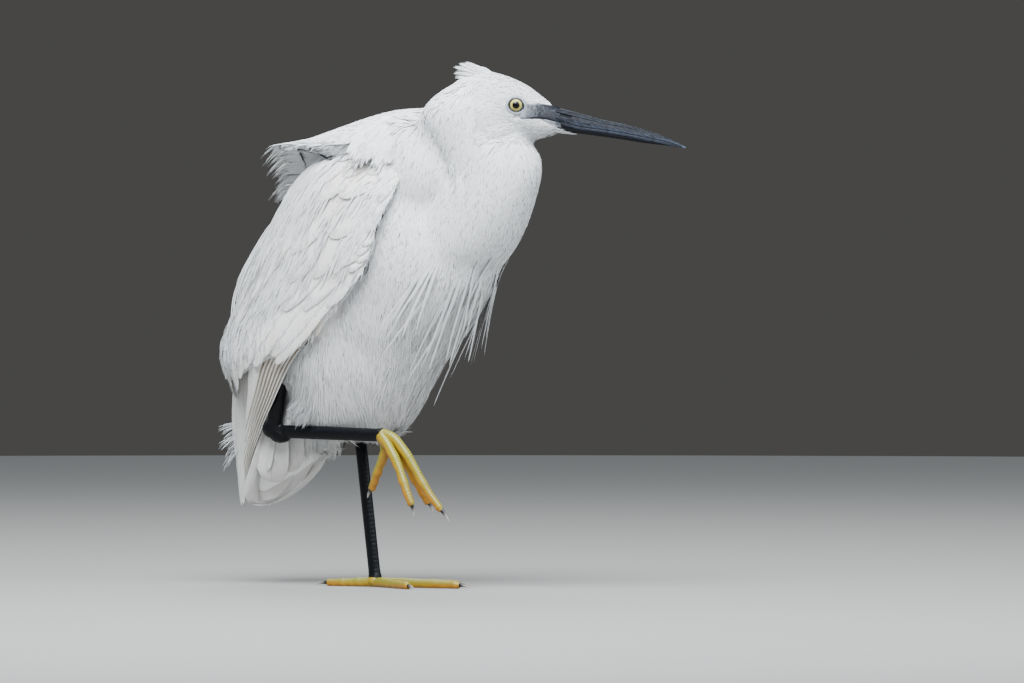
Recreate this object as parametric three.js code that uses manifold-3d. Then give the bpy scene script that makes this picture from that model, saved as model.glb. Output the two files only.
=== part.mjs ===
// Little egret, life size, standing on its left leg with the right leg drawn up.
// Millimetres, +Z up. The body faces +X, its left side is +Y, and the middle of
// the standing foot's sole is near the origin, on the floor at Z = 0.

import * as THREE from 'three';
import Module from 'manifold-3d';

const wasm = await Module();
wasm.setup();

// Sizes shared by the whole bird
const GAP = 0.34;
const LIMB_GAP = 0.42;
const HEAD_TURN = THREE.MathUtils.degToRad(35);
const BODY_RING = 20;
const SMALL_RING = 4;

// Rings in each loft of the body
const TORSO_RINGS = 15;
const RUMP_RINGS = 7;
const NECK_RINGS = 14;
const HEAD_RINGS = 15;
const BILL_RINGS = 13;

// Torso stations: height, middle forward of the foot, half length, half width
const TORSO_STATIONS = [
  [94, -20, 20, 15],
  [98, -20, 34, 27],
  [108, -19, 42, 34],
  [121, -16, 47, 38],
  [134, -16, 55, 42],
  [148, -20, 70, 44],
  [163, -16, 81, 46],
  [177, -10, 85, 47],
  [194, -1, 86, 48],
  [208, 3, 83, 49],
  [220, 5, 76, 49],
  [233, 5.5, 67, 49],
  [246, 5.5, 56.5, 46.5],
  [258, 6, 45, 42.5],
  [267, 9, 34.5, 36.5],
  [276, 12, 22.5, 27],
  [283, 14, 11, 14],
];

// Rump stations: height, middle forward, half length, half width
const RUMP_STATIONS = [
  [98, -78, 11, 15],
  [108, -76, 18, 21],
  [124, -70, 25, 26],
  [142, -62, 31, 31],
  [160, -52, 34, 34],
  [180, -40, 30, 30],
];

// Neck stations: height, middle forward, middle left, half length, half width, turn in degrees
const NECK_STATIONS = [
  [186, 38, 0, 24, 20, 0],
  [196, 44, 0, 38, 29, 0],
  [210, 55, 0, 42, 33, 0],
  [228, 67, 0, 41, 32, 0],
  [245, 76, 0, 39, 30, 0],
  [258, 80, 0, 38, 29, 6],
  [268, 80.5, -1, 37, 28, 12],
  [277, 77.5, -3, 35, 27, 20],
  [288, 75.5, -7, 33, 24, 30],
  [298, 77.5, -10.8, 30, 19.5, 35],
  [306, 78.3, -10.3, 24, 15.5, 35],
  [313, 82, -7.7, 18, 11, 35],
  [318, 84.6, -5.9, 12, 6.5, 35],
];

// Head stations along the bill's direction: distance, middle height, half height, half width
const HEAD_ORIGIN = new THREE.Vector3(93, 0, 0);
const HEAD_ORIGIN_REACH = 76.2;
const HEAD_RING = 20;
const HEAD_STATIONS = [
  [47, 305, 6, 5],
  [50, 304.5, 12.5, 10],
  [57, 303, 18, 14],
  [66, 301.7, 20.6, 15.6],
  [76, 299.8, 20.6, 15.8],
  [85, 297.8, 19.4, 14.4],
  [93, 296, 17.2, 12],
  [100, 294.2, 14, 9.2],
  [107, 292.2, 10.4, 6.6],
  [113, 291, 6.6, 4.6],
  [117, 290.6, 3, 2.4],
];

// Bill: profile heights at distances along the bill's direction
const BILL_RING = 10;
const BILL_TIP_RISE = 0.3;
const BILL_STATIONS = [
  // distance, top of the upper half, meeting line, foot of the lower half, half width
  [104, 301.6, 292.3, 285.2, 5.6],
  [113, 299, 290.3, 284.3, 5.2],
  [126, 295.6, 287.4, 282.9, 4.4],
  [139, 292, 285.6, 281.2, 3.7],
  [152, 289.3, 283.6, 279.4, 3.1],
  [164, 286, 281.2, 277.5, 2.5],
  [177, 281.8, 278.5, 276, 1.8],
  [186, 277.6, 276, 274.9, 1.1],
  [191, 274.9, 274.5, 274.1, 0.5],
];

// Eyes
const EYE_RADIUS = 4.6;
const EYE_REACH = 85.6;
const EYE_HEIGHT = 300.9;
const EYE_OFFSET = 10.6;
const LID_RADIUS = 4.5;
const LID_THICKNESS = 0.75;
const LID_TURN = 0.2;
const LID_SINK = 0.2;
const EYE_COLUMNS = 12;
const EYE_ROWS = 8;

// Mouth line behind the bill and nostril slits: distances along the bill's direction and
// heights, and for the nostrils their side offset
const GAPE_LINE = [[84, 293], [91, 292.4], [98, 292.5], [106, 292.2]];
const GAPE_RADIUS = 0.5;
const GAPE_LIFT = 0.1;
const NOSTRIL_LINE = [[111, 295.4, 4.9], [120, 293.4, 4.5]];
const NOSTRIL_HALF_HEIGHT = 0.75;
const NOSTRIL_END = 0.25;
const NOSTRIL_DEPTH = 0.8;

// Crest: root on the crown, then the tip of each plume with its side offset
const CREST_ROOT = [63, 318.5];
const CREST_TIPS = [[54, 327, 1], [48, 324, -2], [46.5, 320.5, 2.5], [48.5, 317, -1]];
const CREST_STEP = 1.55;
const CREST_ROOT_SPREAD = 0.4;
const CREST_ARCH = 1.2;
const CREST_DEPTH = 0.9;
const CREST_WIDTH = 1.9;

// Breast plumes: angles round the breast from straight ahead, root height and lengths
const PLUME_COUNT = 11;
const PLUME_FROM = -52;
const PLUME_TO = 34;
const PLUME_ROOT = 190;
const PLUME_SHORT = 42;
const PLUME_LONG = 78;
const PLUME_SINK = 1.5;
const PLUME_STAND = 3.2;
const PLUME_DRIFT = 0.34;
const PLUME_SWAY = 3;
const PLUME_DEPTH = 0.45;
const PLUME_WIDTH = 1.25;
const PLUME_TIP_WIDTH = 0.3;

// Folded wing surface: height, middle forward, half length behind, half width
const WING_STATIONS = [
  [50, -97, 6, 9],
  [76, -84, 20, 21],
  [100, -64, 38, 32],
  [121, -48, 57, 41],
  [141, -31, 83, 48.5],
  [160, -18, 91, 52.5],
  [190, -2, 92, 55],
  [206, 3, 89, 56],
  [219, 5, 82, 56],
  [246, 5, 64, 54],
  [258, 6, 53, 50],
  [270, 9, 38, 42],
  [281, 13, 22, 28],
];
// Height and angle of the wing's front edge, in degrees round from straight ahead
const WING_FRONT = [
  [50, 96],
  [100, 94],
  [118, 89],
  [141, 88],
  [154, 85],
  [173, 82],
  [201, 74],
  [229, 66],
  [264, 44],
  [281, 50],
];
const WING_REAR_ANGLE = 168;
const WING_TOP = 279;
const WING_HEM = 128;
const WING_HEM_RISE = 26;
const WING_SHELL = 4.4;
const WING_SHELL_END = 0.97;
const WING_SHELL_TAPER = 2.6;
const ENVELOPE_FOOT = 130;
const ENVELOPE_LIFT = 3.4;
const ENVELOPE_RINGS = 16;

// Rows of wing feathers from the shoulder down: how many, where they root and end
// down the wing, how wide one is for its place in the row, and how high its tip stands
const WING_TIERS = [
  { count: 4, root: 0.02, tip: 0.25, overlap: 1.45, rise: 1.9 },
  { count: 5, root: 0.15, tip: 0.43, overlap: 1.45, rise: 2 },
  { count: 6, root: 0.31, tip: 0.64, overlap: 1.45, rise: 2 },
  { count: 8, root: 0.5, tip: 1.03, overlap: 1.4, rise: 1.8 },
];
const VANE_ROOT_LIFT = -1.1;
const VANE_TILT = 0.7;
const VANE_THICKNESS = 0.6;
const COVERT_OUTLINE = [0.8, 1, 0.86, 0.3];
const FLIGHT_OUTLINE = [0.7, 1, 0.98, 0.8, 0.25];

// Primaries: the long flight feathers whose tips reach down past the tail's root
const PRIMARY_COUNT = 5;
const PRIMARY_ROOT = 165;
const PRIMARY_TIP = 52;
const PRIMARY_STEP = 10;
const PRIMARY_WIDTH = 9;
const PRIMARY_LIFT = -3.6;
const PRIMARY_STACK = 0.45;
const PRIMARY_ACROSS = 0.1;
const PRIMARY_SHIFT = 0.045;
const PRIMARY_SWEEP = 0.16;

// Loose plumes along the wing's rear edge
const EDGE_PLUMES = 2;
const EDGE_PLUME_LIFT = 5.5;
const EDGE_PLUME_START = 0.2;
const EDGE_PLUME_STEP = 0.2;
const EDGE_PLUME_LENGTH = 0.4;
const EDGE_PLUME_DEPTH = 0.45;
const EDGE_PLUME_WIDTH = 1.5;
const EDGE_PLUME_TIP_WIDTH = 0.4;

// Mantle cape: distance forward, top height, half width, droop of the sides, thickness
const MANTLE_STATIONS = [
  [50, 298, 16, 8, 8],
  [36, 298.4, 30, 20, 16],
  [18, 298, 40, 30, 20],
  [0, 296, 43, 31, 18],
  [-18, 291.5, 41, 28, 12],
  [-36, 286, 36, 23, 7],
  [-54, 281, 32, 23, 4],
  [-68, 277, 27, 23, 2],
];
const MANTLE_SHIFT = -4;
const MANTLE_BEYOND = 110;
const MANTLE_FALL = 0.3;
const MANTLE_NARROW = 0.96;
const MANTLE_TIERS = [
  { count: 4, root: 0.1, tip: 0.54, overlap: 1.5, rise: 1.6 },
  { count: 6, root: 0.42, tip: 1.03, overlap: 1.35, rise: 1.4 },
];

// Tail and the feathers under it
const TAIL_ROOT = new THREE.Vector3(-72, 0, 118);
const TAIL_TIP = new THREE.Vector3(-91.5, 0, 49.5);
const TAIL_ROOT_HALF = 14;
const TAIL_TIP_HALF = 26;
const TAIL_FEATHERS = 8;
const TAIL_FEATHER_WIDTH = 12;
const TAIL_THICKNESS = 1.2;
const TAIL_OUTLINE = [0.7, 0.9, 1, 0.6];
const TAIL_FALL = 3;
const TAIL_STACK = 1.6;
const TAIL_ROUNDING = 0.08;
const UNDERTAIL_RINGS = 8;
const UNDERTAIL_RING = 16;
const UNDERTAIL_STATIONS = [
  [57, -86, 6, 9],
  [64, -79, 13, 14],
  [74, -71, 20, 18],
  [86, -62, 26, 21],
  [98, -55, 30, 23],
  [110, -50, 30, 22],
  [122, -46, 22, 16],
];

// Legs
const HOCK_RADIUS = 6.2;
const SHIN_DEPTH = 4.4;
const SHIN_WIDTH = 2.9;
const LEG_RING = 12;
const LEG_LAP = 2;
const THIGH_TOP_DEPTH = 13;
const THIGH_TOP_WIDTH = 11;
const THIGH_FOOT = 6.5;
const SHANK_TOP = 3.9;
const HOCK_FLATTEN = 1.8;
const HEEL_SHARE = 0.14;
const TOE_JOINT_SHARE = 0.12;
const RIGHT_THIGH_TOP = new THREE.Vector3(-36, -27, 150);
const RIGHT_SHANK_TOP = new THREE.Vector3(-51, -31.5, 130);
const RIGHT_HOCK = new THREE.Vector3(-62, -27, 97);
const RIGHT_TOE_JOINT = new THREE.Vector3(27, -34, 95.8);
const LEFT_HOCK = new THREE.Vector3(-22, 8, 106);
const LEFT_TOE_JOINT = new THREE.Vector3(-3, 0, 4.6);

// Toes: paths from the toe joint to the root of each claw, and the claw's tip
const TOE_RADIUS = 2.7;
const TOE_RING = 8;
const TOE_SEGMENTS = 5;
const TOE_SWELL = 1.3;
const TOE_TAPER = 0.5;
const CLAW_LAP = 0.4;
const CLAW_DEPTH = 2;
const CLAW_WIDTH = 1.6;
const CLAW_POINT = 0.3;
const CLAW_ARCH = 1;
const CLAW_RING = 5;
const CLAW_SEGMENTS = 3;
const RIGHT_TOES = {
  outer: { path: [[27, -35, 95], [33, -37.5, 88], [44, -40.5, 70], [54, -42, 54]], claw: [56.5, -42.3, 46] },
  middle: { path: [[27, -34, 96], [37, -34.5, 96], [49.5, -34, 84], [71, -33, 49]], claw: [78, -33, 43] },
  inner: { path: [[27, -33, 95], [36, -30.5, 87], [46, -27, 70], [54, -24, 55]], claw: [58, -23, 48] },
  hind: { path: [[27, -34, 95], [27.5, -32, 86], [21, -30, 74], [15, -28, 63]], claw: [10.5, -27, 56.5] },
};
const LEFT_TOES = {
  outer: { path: [[-3, 0, 2.6], [6, 5, 2.6], [24, 15, 2.2], [42, 24, 2]], claw: [50.5, 28.5, 0.9] },
  middle: { path: [[-3, 0, 2.6], [10, 0.6, 2.6], [32, 1.8, 2.2], [57, 3, 2]], claw: [67, 3.5, 0.9] },
  inner: { path: [[-3, 0, 2.6], [6, -4.6, 2.6], [22, -13.5, 2.2], [37, -22, 2]], claw: [45.5, -26.5, 0.9] },
  hind: { path: [[-3, 0, 2.6], [-10, -1.4, 2.6], [-22, -3.4, 2.2], [-34, -5.4, 2]], claw: [-43.5, -7, 0.9] },
};

// Space under the floor that the sole is cut level with
const FLOOR_SIZE = 400;
const FLOOR_DEPTH = 20;

// Materials
const material = (color, roughness) => new THREE.MeshStandardMaterial({ color, roughness, metalness: 0 });
const WHITE_FEATHER = material(0xf2f3f2, 0.9);
const BILL_HORN = material(0x2c3138, 0.45);
const EYE_GLOSS = material(0xe6dc8e, 0.15);
const LEG_SKIN = material(0x1d2024, 0.5);
const TOE_SKIN = material(0xd9b93a, 0.55);
const CLAW_HORN = material(0x2a2622, 0.4);

// Value of a row of stations at a place between them, smooth through each one
function stationAt(stations, place) {
  const last = stations.length - 1;
  const index = Math.min(Math.floor(place), last - 1);
  const t = place - index;
  const before = stations[Math.max(index - 1, 0)];
  const after = stations[Math.min(index + 2, last)];
  return stations[index].map((a, k) => {
    const b = stations[index + 1][k];
    const slopeA = (b - before[k]) / 2;
    const slopeB = (after[k] - a) / 2;
    const t2 = t * t;
    const t3 = t2 * t;
    const eased = 3 * t2 - 2 * t3;
    return a + (b - a) * eased + (t3 - 2 * t2 + t) * slopeA + (t3 - t2) * slopeB;
  });
}

// Value of a row of stations at a given first entry
function stationFor(stations, key) {
  let index = 0;
  while (index < stations.length - 2 && stations[index + 1][0] < key) index += 1;
  const span = stations[index + 1][0] - stations[index][0];
  const t = THREE.MathUtils.clamp((key - stations[index][0]) / span, 0, 1);
  return stationAt(stations, index + t);
}

// Closed geometry from points and triangles, turned so its faces look outward
function closedGeometry(points, triangles) {
  const positions = new Float32Array(points.flatMap((p) => [p.x, p.y, p.z]));
  let volume = 0;
  const cross = new THREE.Vector3();
  for (const [a, b, c] of triangles) volume += points[a].dot(cross.crossVectors(points[b], points[c]));
  const turned = volume < 0 ? triangles.map(([a, b, c]) => [a, c, b]) : triangles;
  const geometry = new THREE.BufferGeometry();
  geometry.setAttribute('position', new THREE.BufferAttribute(positions, 3));
  geometry.setIndex(turned.flat());
  return geometry;
}

// Skin over rings of points, closed by a fan at both ends
function loft(rings) {
  const count = rings[0].length;
  const points = rings.flat();
  const triangles = [];
  for (let r = 0; r < rings.length - 1; r += 1) {
    for (let i = 0; i < count; i += 1) {
      const a = r * count + i;
      const b = r * count + ((i + 1) % count);
      triangles.push([a, b, b + count], [a, b + count, a + count]);
    }
  }
  for (const [start, flip] of [[0, true], [(rings.length - 1) * count, false]]) {
    const middle = new THREE.Vector3();
    for (let i = 0; i < count; i += 1) middle.add(points[start + i]);
    points.push(middle.divideScalar(count));
    for (let i = 0; i < count; i += 1) {
      const a = start + i;
      const b = start + ((i + 1) % count);
      triangles.push(flip ? [points.length - 1, b, a] : [points.length - 1, a, b]);
    }
  }
  return closedGeometry(points, triangles);
}

// Slab between an upper and a lower grid of points, walled round its rim
function slab(rows, columns, upper, lower) {
  const points = [];
  for (const face of [upper, lower]) {
    for (let i = 0; i <= rows; i += 1) {
      for (let j = 0; j <= columns; j += 1) points.push(face(i / rows, j / columns));
    }
  }
  const offset = (rows + 1) * (columns + 1);
  const at = (i, j) => i * (columns + 1) + j;
  const triangles = [];
  const quad = (a, b, c, d) => triangles.push([a, b, c], [a, c, d]);
  for (let i = 0; i < rows; i += 1) {
    for (let j = 0; j < columns; j += 1) {
      quad(at(i, j), at(i + 1, j), at(i + 1, j + 1), at(i, j + 1));
      const [a, b, c, d] = [at(i, j), at(i + 1, j), at(i + 1, j + 1), at(i, j + 1)].map((p) => p + offset);
      triangles.push([a, c, b], [a, d, c]);
    }
  }
  for (let i = 0; i < rows; i += 1) {
    quad(at(i + 1, 0), at(i, 0), at(i, 0) + offset, at(i + 1, 0) + offset);
    quad(at(i, columns), at(i + 1, columns), at(i + 1, columns) + offset, at(i, columns) + offset);
  }
  for (let j = 0; j < columns; j += 1) {
    quad(at(0, j), at(0, j + 1), at(0, j + 1) + offset, at(0, j) + offset);
    quad(at(rows, j + 1), at(rows, j), at(rows, j) + offset, at(rows, j + 1) + offset);
  }
  return closedGeometry(points, triangles);
}

// Level ellipse ring with its long axis turned round the vertical
function levelRing(x, y, z, halfLength, halfWidth, turn, count) {
  const ring = [];
  for (let i = 0; i < count; i += 1) {
    const angle = (i / count) * Math.PI * 2;
    const along = Math.cos(angle) * halfLength;
    const across = Math.sin(angle) * halfWidth;
    ring.push(new THREE.Vector3(
      x + along * Math.cos(turn) - across * Math.sin(turn),
      y + along * Math.sin(turn) + across * Math.cos(turn),
      z,
    ));
  }
  return ring;
}

// Loft of level ellipses over a row of stations
function levelLoft(stations, ringCount, ringSize, read) {
  const rings = [];
  for (let r = 0; r < ringCount; r += 1) {
    const row = stationAt(stations, (r / (ringCount - 1)) * (stations.length - 1));
    rings.push(levelRing(...read(row), ringSize));
  }
  return loft(rings);
}

// Tube of changing half depth and half width along a curve
function limb(curve, segments, size, count) {
  const rings = [];
  const side = new THREE.Vector3();
  const front = new THREE.Vector3();
  const leftward = new THREE.Vector3(0, 1, 0);
  for (let s = 0; s <= segments; s += 1) {
    const t = s / segments;
    const centre = curve.getPoint(t);
    const tangent = curve.getTangent(t);
    front.crossVectors(leftward, tangent).normalize();
    side.crossVectors(tangent, front).normalize();
    const [depth, width] = size(t);
    const ring = [];
    for (let i = 0; i < count; i += 1) {
      const angle = (i / count) * Math.PI * 2;
      ring.push(centre.clone()
        .addScaledVector(front, Math.cos(angle) * depth)
        .addScaledVector(side, Math.sin(angle) * width));
    }
    rings.push(ring);
  }
  return loft(rings);
}

// Solid body of a closed geometry
function solid(geometry) {
  return new wasm.Manifold(new wasm.Mesh({
    numProp: 3,
    vertProperties: geometry.attributes.position.array,
    triVerts: new Uint32Array(geometry.index.array),
  }));
}

// The same closed geometry with every point moved outward
function swollen(geometry, amount) {
  const copy = geometry.clone();
  copy.computeVertexNormals();
  const position = copy.attributes.position;
  const normal = copy.attributes.normal;
  for (let i = 0; i < position.count; i += 1) {
    position.setXYZ(
      i,
      position.getX(i) + normal.getX(i) * amount,
      position.getY(i) + normal.getY(i) * amount,
      position.getZ(i) + normal.getZ(i) * amount,
    );
  }
  return solid(copy);
}

// The largest closed body of a solid
function largest(body) {
  const pieces = body.decompose();
  pieces.sort((a, b) => b.volume() - a.volume());
  return pieces[0];
}

// Named mesh of a solid
function node(name, body, look) {
  const mesh = largest(body).getMesh();
  const geometry = new THREE.BufferGeometry();
  const positions = new Float32Array(mesh.numVert * 3);
  for (let i = 0; i < mesh.numVert; i += 1) {
    for (let k = 0; k < 3; k += 1) positions[i * 3 + k] = mesh.vertProperties[i * mesh.numProp + k];
  }
  geometry.setAttribute('position', new THREE.BufferAttribute(positions, 3));
  geometry.setIndex(Array.from(mesh.triVerts));
  const flat = geometry.toNonIndexed();
  flat.computeVertexNormals();
  const result = new THREE.Mesh(flat, look);
  result.name = name;
  return result;
}

// Point of the head from its distance along the bill, its side offset and its height
function headPoint(reach, aside, height) {
  const along = reach - HEAD_ORIGIN_REACH;
  return new THREE.Vector3(
    HEAD_ORIGIN.x + along * Math.cos(HEAD_TURN) - aside * Math.sin(HEAD_TURN),
    HEAD_ORIGIN.y + along * Math.sin(HEAD_TURN) + aside * Math.cos(HEAD_TURN),
    height,
  );
}

// Torso with the rump that carries the tail
function torsoGeometries() {
  const read = ([z, x, length, width]) => [x, 0, z, length, width, 0];
  return [
    levelLoft(TORSO_STATIONS, TORSO_RINGS, BODY_RING, read),
    levelLoft(RUMP_STATIONS, RUMP_RINGS, BODY_RING, read),
  ];
}

// Neck folded in front of the breast
function neckGeometry() {
  const read = ([z, x, y, length, width, turn]) => [x, y, z, length, width, THREE.MathUtils.degToRad(turn)];
  return levelLoft(NECK_STATIONS, NECK_RINGS, BODY_RING, read);
}

// Head from nape to the feathers at the bill
function headGeometry() {
  const rings = [];
  for (let r = 0; r < HEAD_RINGS; r += 1) {
    const place = (r / (HEAD_RINGS - 1)) * (HEAD_STATIONS.length - 1);
    const [reach, middle, halfHeight, halfWidth] = stationAt(HEAD_STATIONS, place);
    const ring = [];
    for (let i = 0; i < HEAD_RING; i += 1) {
      const angle = (i / HEAD_RING) * Math.PI * 2;
      ring.push(headPoint(reach, Math.sin(angle) * halfWidth, middle + Math.cos(angle) * halfHeight));
    }
    rings.push(ring);
  }
  return loft(rings);
}

// Half width of the head at a distance along it and a height
function headHalfWidth(reach, height) {
  const [, middle, halfHeight, halfWidth] = stationFor(HEAD_STATIONS, reach);
  const rise = (height - middle) / halfHeight;
  return halfWidth * Math.sqrt(Math.max(0, 1 - rise * rise));
}

// Lids: a ring of bare skin round each eye
function lidRing(side) {
  const geometry = new THREE.TorusGeometry(LID_RADIUS, LID_THICKNESS, SMALL_RING, EYE_COLUMNS);
  geometry.rotateX(Math.PI / 2);
  geometry.rotateZ(HEAD_TURN - side * LID_TURN);
  const place = headPoint(EYE_REACH, side * (headHalfWidth(EYE_REACH, EYE_HEIGHT) - LID_SINK), EYE_HEIGHT);
  geometry.translate(place.x, place.y, place.z);
  geometry.deleteAttribute('normal');
  geometry.deleteAttribute('uv');
  return solid(mergedByPlace(geometry));
}

// Groove where the mouth's corner runs back under the eye
function gapeGroove(side) {
  const points = GAPE_LINE.map(([reach, height]) => (
    headPoint(reach, side * (headHalfWidth(reach, height) + GAPE_LIFT), height)
  ));
  return solid(limb(new THREE.CatmullRomCurve3(points), 4, () => [GAPE_RADIUS, GAPE_RADIUS], SMALL_RING));
}

// Slit of a nostril in the side of the upper bill
function nostrilSlit(side) {
  const [back, front] = NOSTRIL_LINE.map(([reach, height, offset]) => (
    headPoint(reach, side * offset, height)
  ));
  const size = (t) => {
    const open = Math.sin(t * Math.PI);
    return [THREE.MathUtils.lerp(NOSTRIL_END, NOSTRIL_HALF_HEIGHT, open), NOSTRIL_DEPTH];
  };
  return solid(limb(new THREE.LineCurve3(back, front), 3, size, SMALL_RING));
}

// Small plumes that stand up from the back of the crown
function crestPlumes() {
  return CREST_TIPS.map(([reach, height, offset], i) => {
    const root = headPoint(
      CREST_ROOT[0] + CREST_STEP * i,
      offset * CREST_ROOT_SPREAD,
      CREST_ROOT[1] - CREST_STEP * i,
    );
    const tip = headPoint(reach, offset, height);
    const middle = root.clone().lerp(tip, 0.5);
    middle.z += CREST_ARCH;
    const size = (t) => [CREST_DEPTH * (1 - 0.67 * t), CREST_WIDTH * (1 - 0.79 * t)];
    return limb(new THREE.QuadraticBezierCurve3(root, middle, tip), 3, size, SMALL_RING);
  });
}

// Long thin plumes that hang from the breast, clear of the body as it slopes away
function breastPlumes() {
  const plumes = [];
  for (let i = 0; i < PLUME_COUNT; i += 1) {
    const share = (i + 0.5) / PLUME_COUNT;
    const angle = THREE.MathUtils.degToRad(THREE.MathUtils.lerp(PLUME_FROM, PLUME_TO, share));
    const rootHeight = PLUME_ROOT + vary(i, 1) * PLUME_SWAY * 2;
    const length = THREE.MathUtils.lerp(PLUME_SHORT, PLUME_LONG, 0.5 + 0.5 * vary(i, 2));
    const [, x, halfLength, halfWidth] = stationFor(TORSO_STATIONS, rootHeight);
    const out = new THREE.Vector3(Math.cos(angle), Math.sin(angle), 0);
    const root = new THREE.Vector3(
      x + out.x * (halfLength - PLUME_SINK),
      out.y * (halfWidth - PLUME_SINK),
      rootHeight,
    );
    const drift = PLUME_DRIFT * length + vary(i, 7) * PLUME_SWAY;
    const at = (down, back) => root.clone()
      .addScaledVector(out, PLUME_STAND)
      .add(new THREE.Vector3(-back, 0, -down));
    const points = [root, at(length * 0.2, 2), at(length * 0.55, drift * 0.45), at(length, drift)];
    const size = (t) => [PLUME_DEPTH, THREE.MathUtils.lerp(PLUME_WIDTH, PLUME_TIP_WIDTH, t * t)];
    plumes.push(solid(limb(new THREE.CatmullRomCurve3(points), 5, size, SMALL_RING)));
  }
  return plumes;
}

// One half of the bill, flat on the line where the two halves meet
function billGeometry(upper) {
  const rings = [];
  for (let r = 0; r < BILL_RINGS; r += 1) {
    const place = (r / (BILL_RINGS - 1)) * (BILL_STATIONS.length - 1);
    const [reach, top, meeting, foot, halfWidth] = stationAt(BILL_STATIONS, place);
    const base = meeting + (upper ? GAP : -GAP) / 2;
    const rise = upper ? Math.max(top - base, BILL_TIP_RISE) : Math.min(foot - base, -BILL_TIP_RISE);
    const ring = [];
    for (let i = 0; i <= BILL_RING; i += 1) {
      const angle = (i / BILL_RING) * Math.PI;
      ring.push(headPoint(reach, Math.cos(angle) * halfWidth, base + Math.sin(angle) * rise));
    }
    rings.push(ring);
  }
  return loft(rings);
}

// Eyeball
function eyeGeometry(side, extra) {
  const geometry = new THREE.SphereGeometry(EYE_RADIUS + extra, EYE_COLUMNS, EYE_ROWS);
  const place = headPoint(EYE_REACH, side * EYE_OFFSET, EYE_HEIGHT);
  geometry.translate(place.x, place.y, place.z);
  geometry.deleteAttribute('normal');
  geometry.deleteAttribute('uv');
  return mergedByPlace(geometry);
}

// Geometry with points at one place made one
function mergedByPlace(geometry) {
  const position = geometry.attributes.position;
  const index = geometry.index ? Array.from(geometry.index.array) : [...Array(position.count).keys()];
  const seen = new Map();
  const points = [];
  const remap = [];
  for (let i = 0; i < position.count; i += 1) {
    const point = new THREE.Vector3().fromBufferAttribute(position, i);
    const key = point.toArray().map((v) => Math.round(v * 1000)).join(' ');
    if (!seen.has(key)) {
      seen.set(key, points.length);
      points.push(point);
    }
    remap.push(seen.get(key));
  }
  const triangles = [];
  for (let i = 0; i < index.length; i += 3) {
    const [a, b, c] = [remap[index[i]], remap[index[i + 1]], remap[index[i + 2]]];
    if (a !== b && b !== c && c !== a) triangles.push([a, b, c]);
  }
  return closedGeometry(points, triangles);
}

// Point on the folded wing's surface; across runs from the front edge to the rear one
function wingPoint(side, across, height, lift) {
  const [, middle, halfLength, halfWidth] = stationFor(WING_STATIONS, height);
  const front = stationFor(WING_FRONT, height)[1];
  const angle = THREE.MathUtils.degToRad(THREE.MathUtils.lerp(front, WING_REAR_ANGLE, across));
  return new THREE.Vector3(
    middle + Math.cos(angle) * (halfLength + lift),
    side * Math.sin(angle) * (halfWidth + lift),
    height,
  );
}

// Height on the wing for a fraction of the way from its top to the hem of the secondaries
function wingHeight(across, down) {
  const hem = WING_HEM + WING_HEM_RISE * (1 - across) ** 2;
  return THREE.MathUtils.lerp(WING_TOP, hem, down);
}

// Thin feather vane on a surface: place(along, aside, lift) gives its points. Its root lies
// in the surface, its tip stands above it, and one edge is tucked under its neighbour
function vane(outline, place, rise, thickness) {
  const rows = outline.length - 1;
  const aside = (t, u) => (u * 2 - 1) * outline[Math.round(t * rows)];
  const top = (t, u) => {
    const raised = THREE.MathUtils.smoothstep(t, 0.15, 1.05);
    return THREE.MathUtils.lerp(VANE_ROOT_LIFT, rise, raised) - aside(t, u) * VANE_TILT;
  };
  return solid(slab(
    rows,
    1,
    (t, u) => place(t, aside(t, u), top(t, u)),
    (t, u) => place(t, aside(t, u), top(t, u) - thickness),
  ));
}

// Small repeatable variation from feather to feather, between -1 and 1
function vary(...seeds) {
  const wave = Math.sin(seeds.reduce((sum, seed, k) => sum + seed * (12.9898 + 65.3 * k), 4.7)) * 43758.5453;
  return (wave - Math.floor(wave)) * 2 - 1;
}

// Rows of feathers over the folded wing
function wingFeathers(side) {
  const feathers = [];
  WING_TIERS.forEach((tier, row) => {
    const isHem = tier.tip > 1;
    for (let i = 0; i < tier.count; i += 1) {
      const middle = (i + 0.5 + (row % 2) * 0.2) / tier.count;
      const half = (0.5 / tier.count) * tier.overlap;
      const tip = tier.tip + vary(row, i) * 0.015;
      const place = (t, aside, lift) => {
        const across = THREE.MathUtils.clamp(middle + aside * half + 0.02 * t, 0.01, 1.04);
        return wingPoint(side, across, wingHeight(across, THREE.MathUtils.lerp(tier.root, tip, t)), lift);
      };
      const outline = isHem ? FLIGHT_OUTLINE : COVERT_OUTLINE;
      feathers.push(vane(outline, place, tier.rise, VANE_THICKNESS));
    }
  });
  return feathers;
}

// Long primaries, each a little further in and shorter than the one before it
function primaryFeathers(side) {
  const feathers = [];
  for (let i = 0; i < PRIMARY_COUNT; i += 1) {
    const tipHeight = PRIMARY_TIP + i * PRIMARY_STEP;
    const lift = PRIMARY_LIFT + i * PRIMARY_STACK;
    const place = (t, aside, raise) => {
      const height = THREE.MathUtils.lerp(PRIMARY_ROOT, tipHeight, t);
      const halfWidth = stationFor(WING_STATIONS, height)[3];
      const middle = PRIMARY_ACROSS + PRIMARY_SHIFT * i + PRIMARY_SWEEP * t;
      const half = (PRIMARY_WIDTH * 0.5) / (halfWidth * 1.4);
      return wingPoint(side, middle + aside * half, height, lift + raise);
    };
    feathers.push(vane(FLIGHT_OUTLINE, place, 0.2, VANE_THICKNESS));
  }
  return feathers;
}

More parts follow.
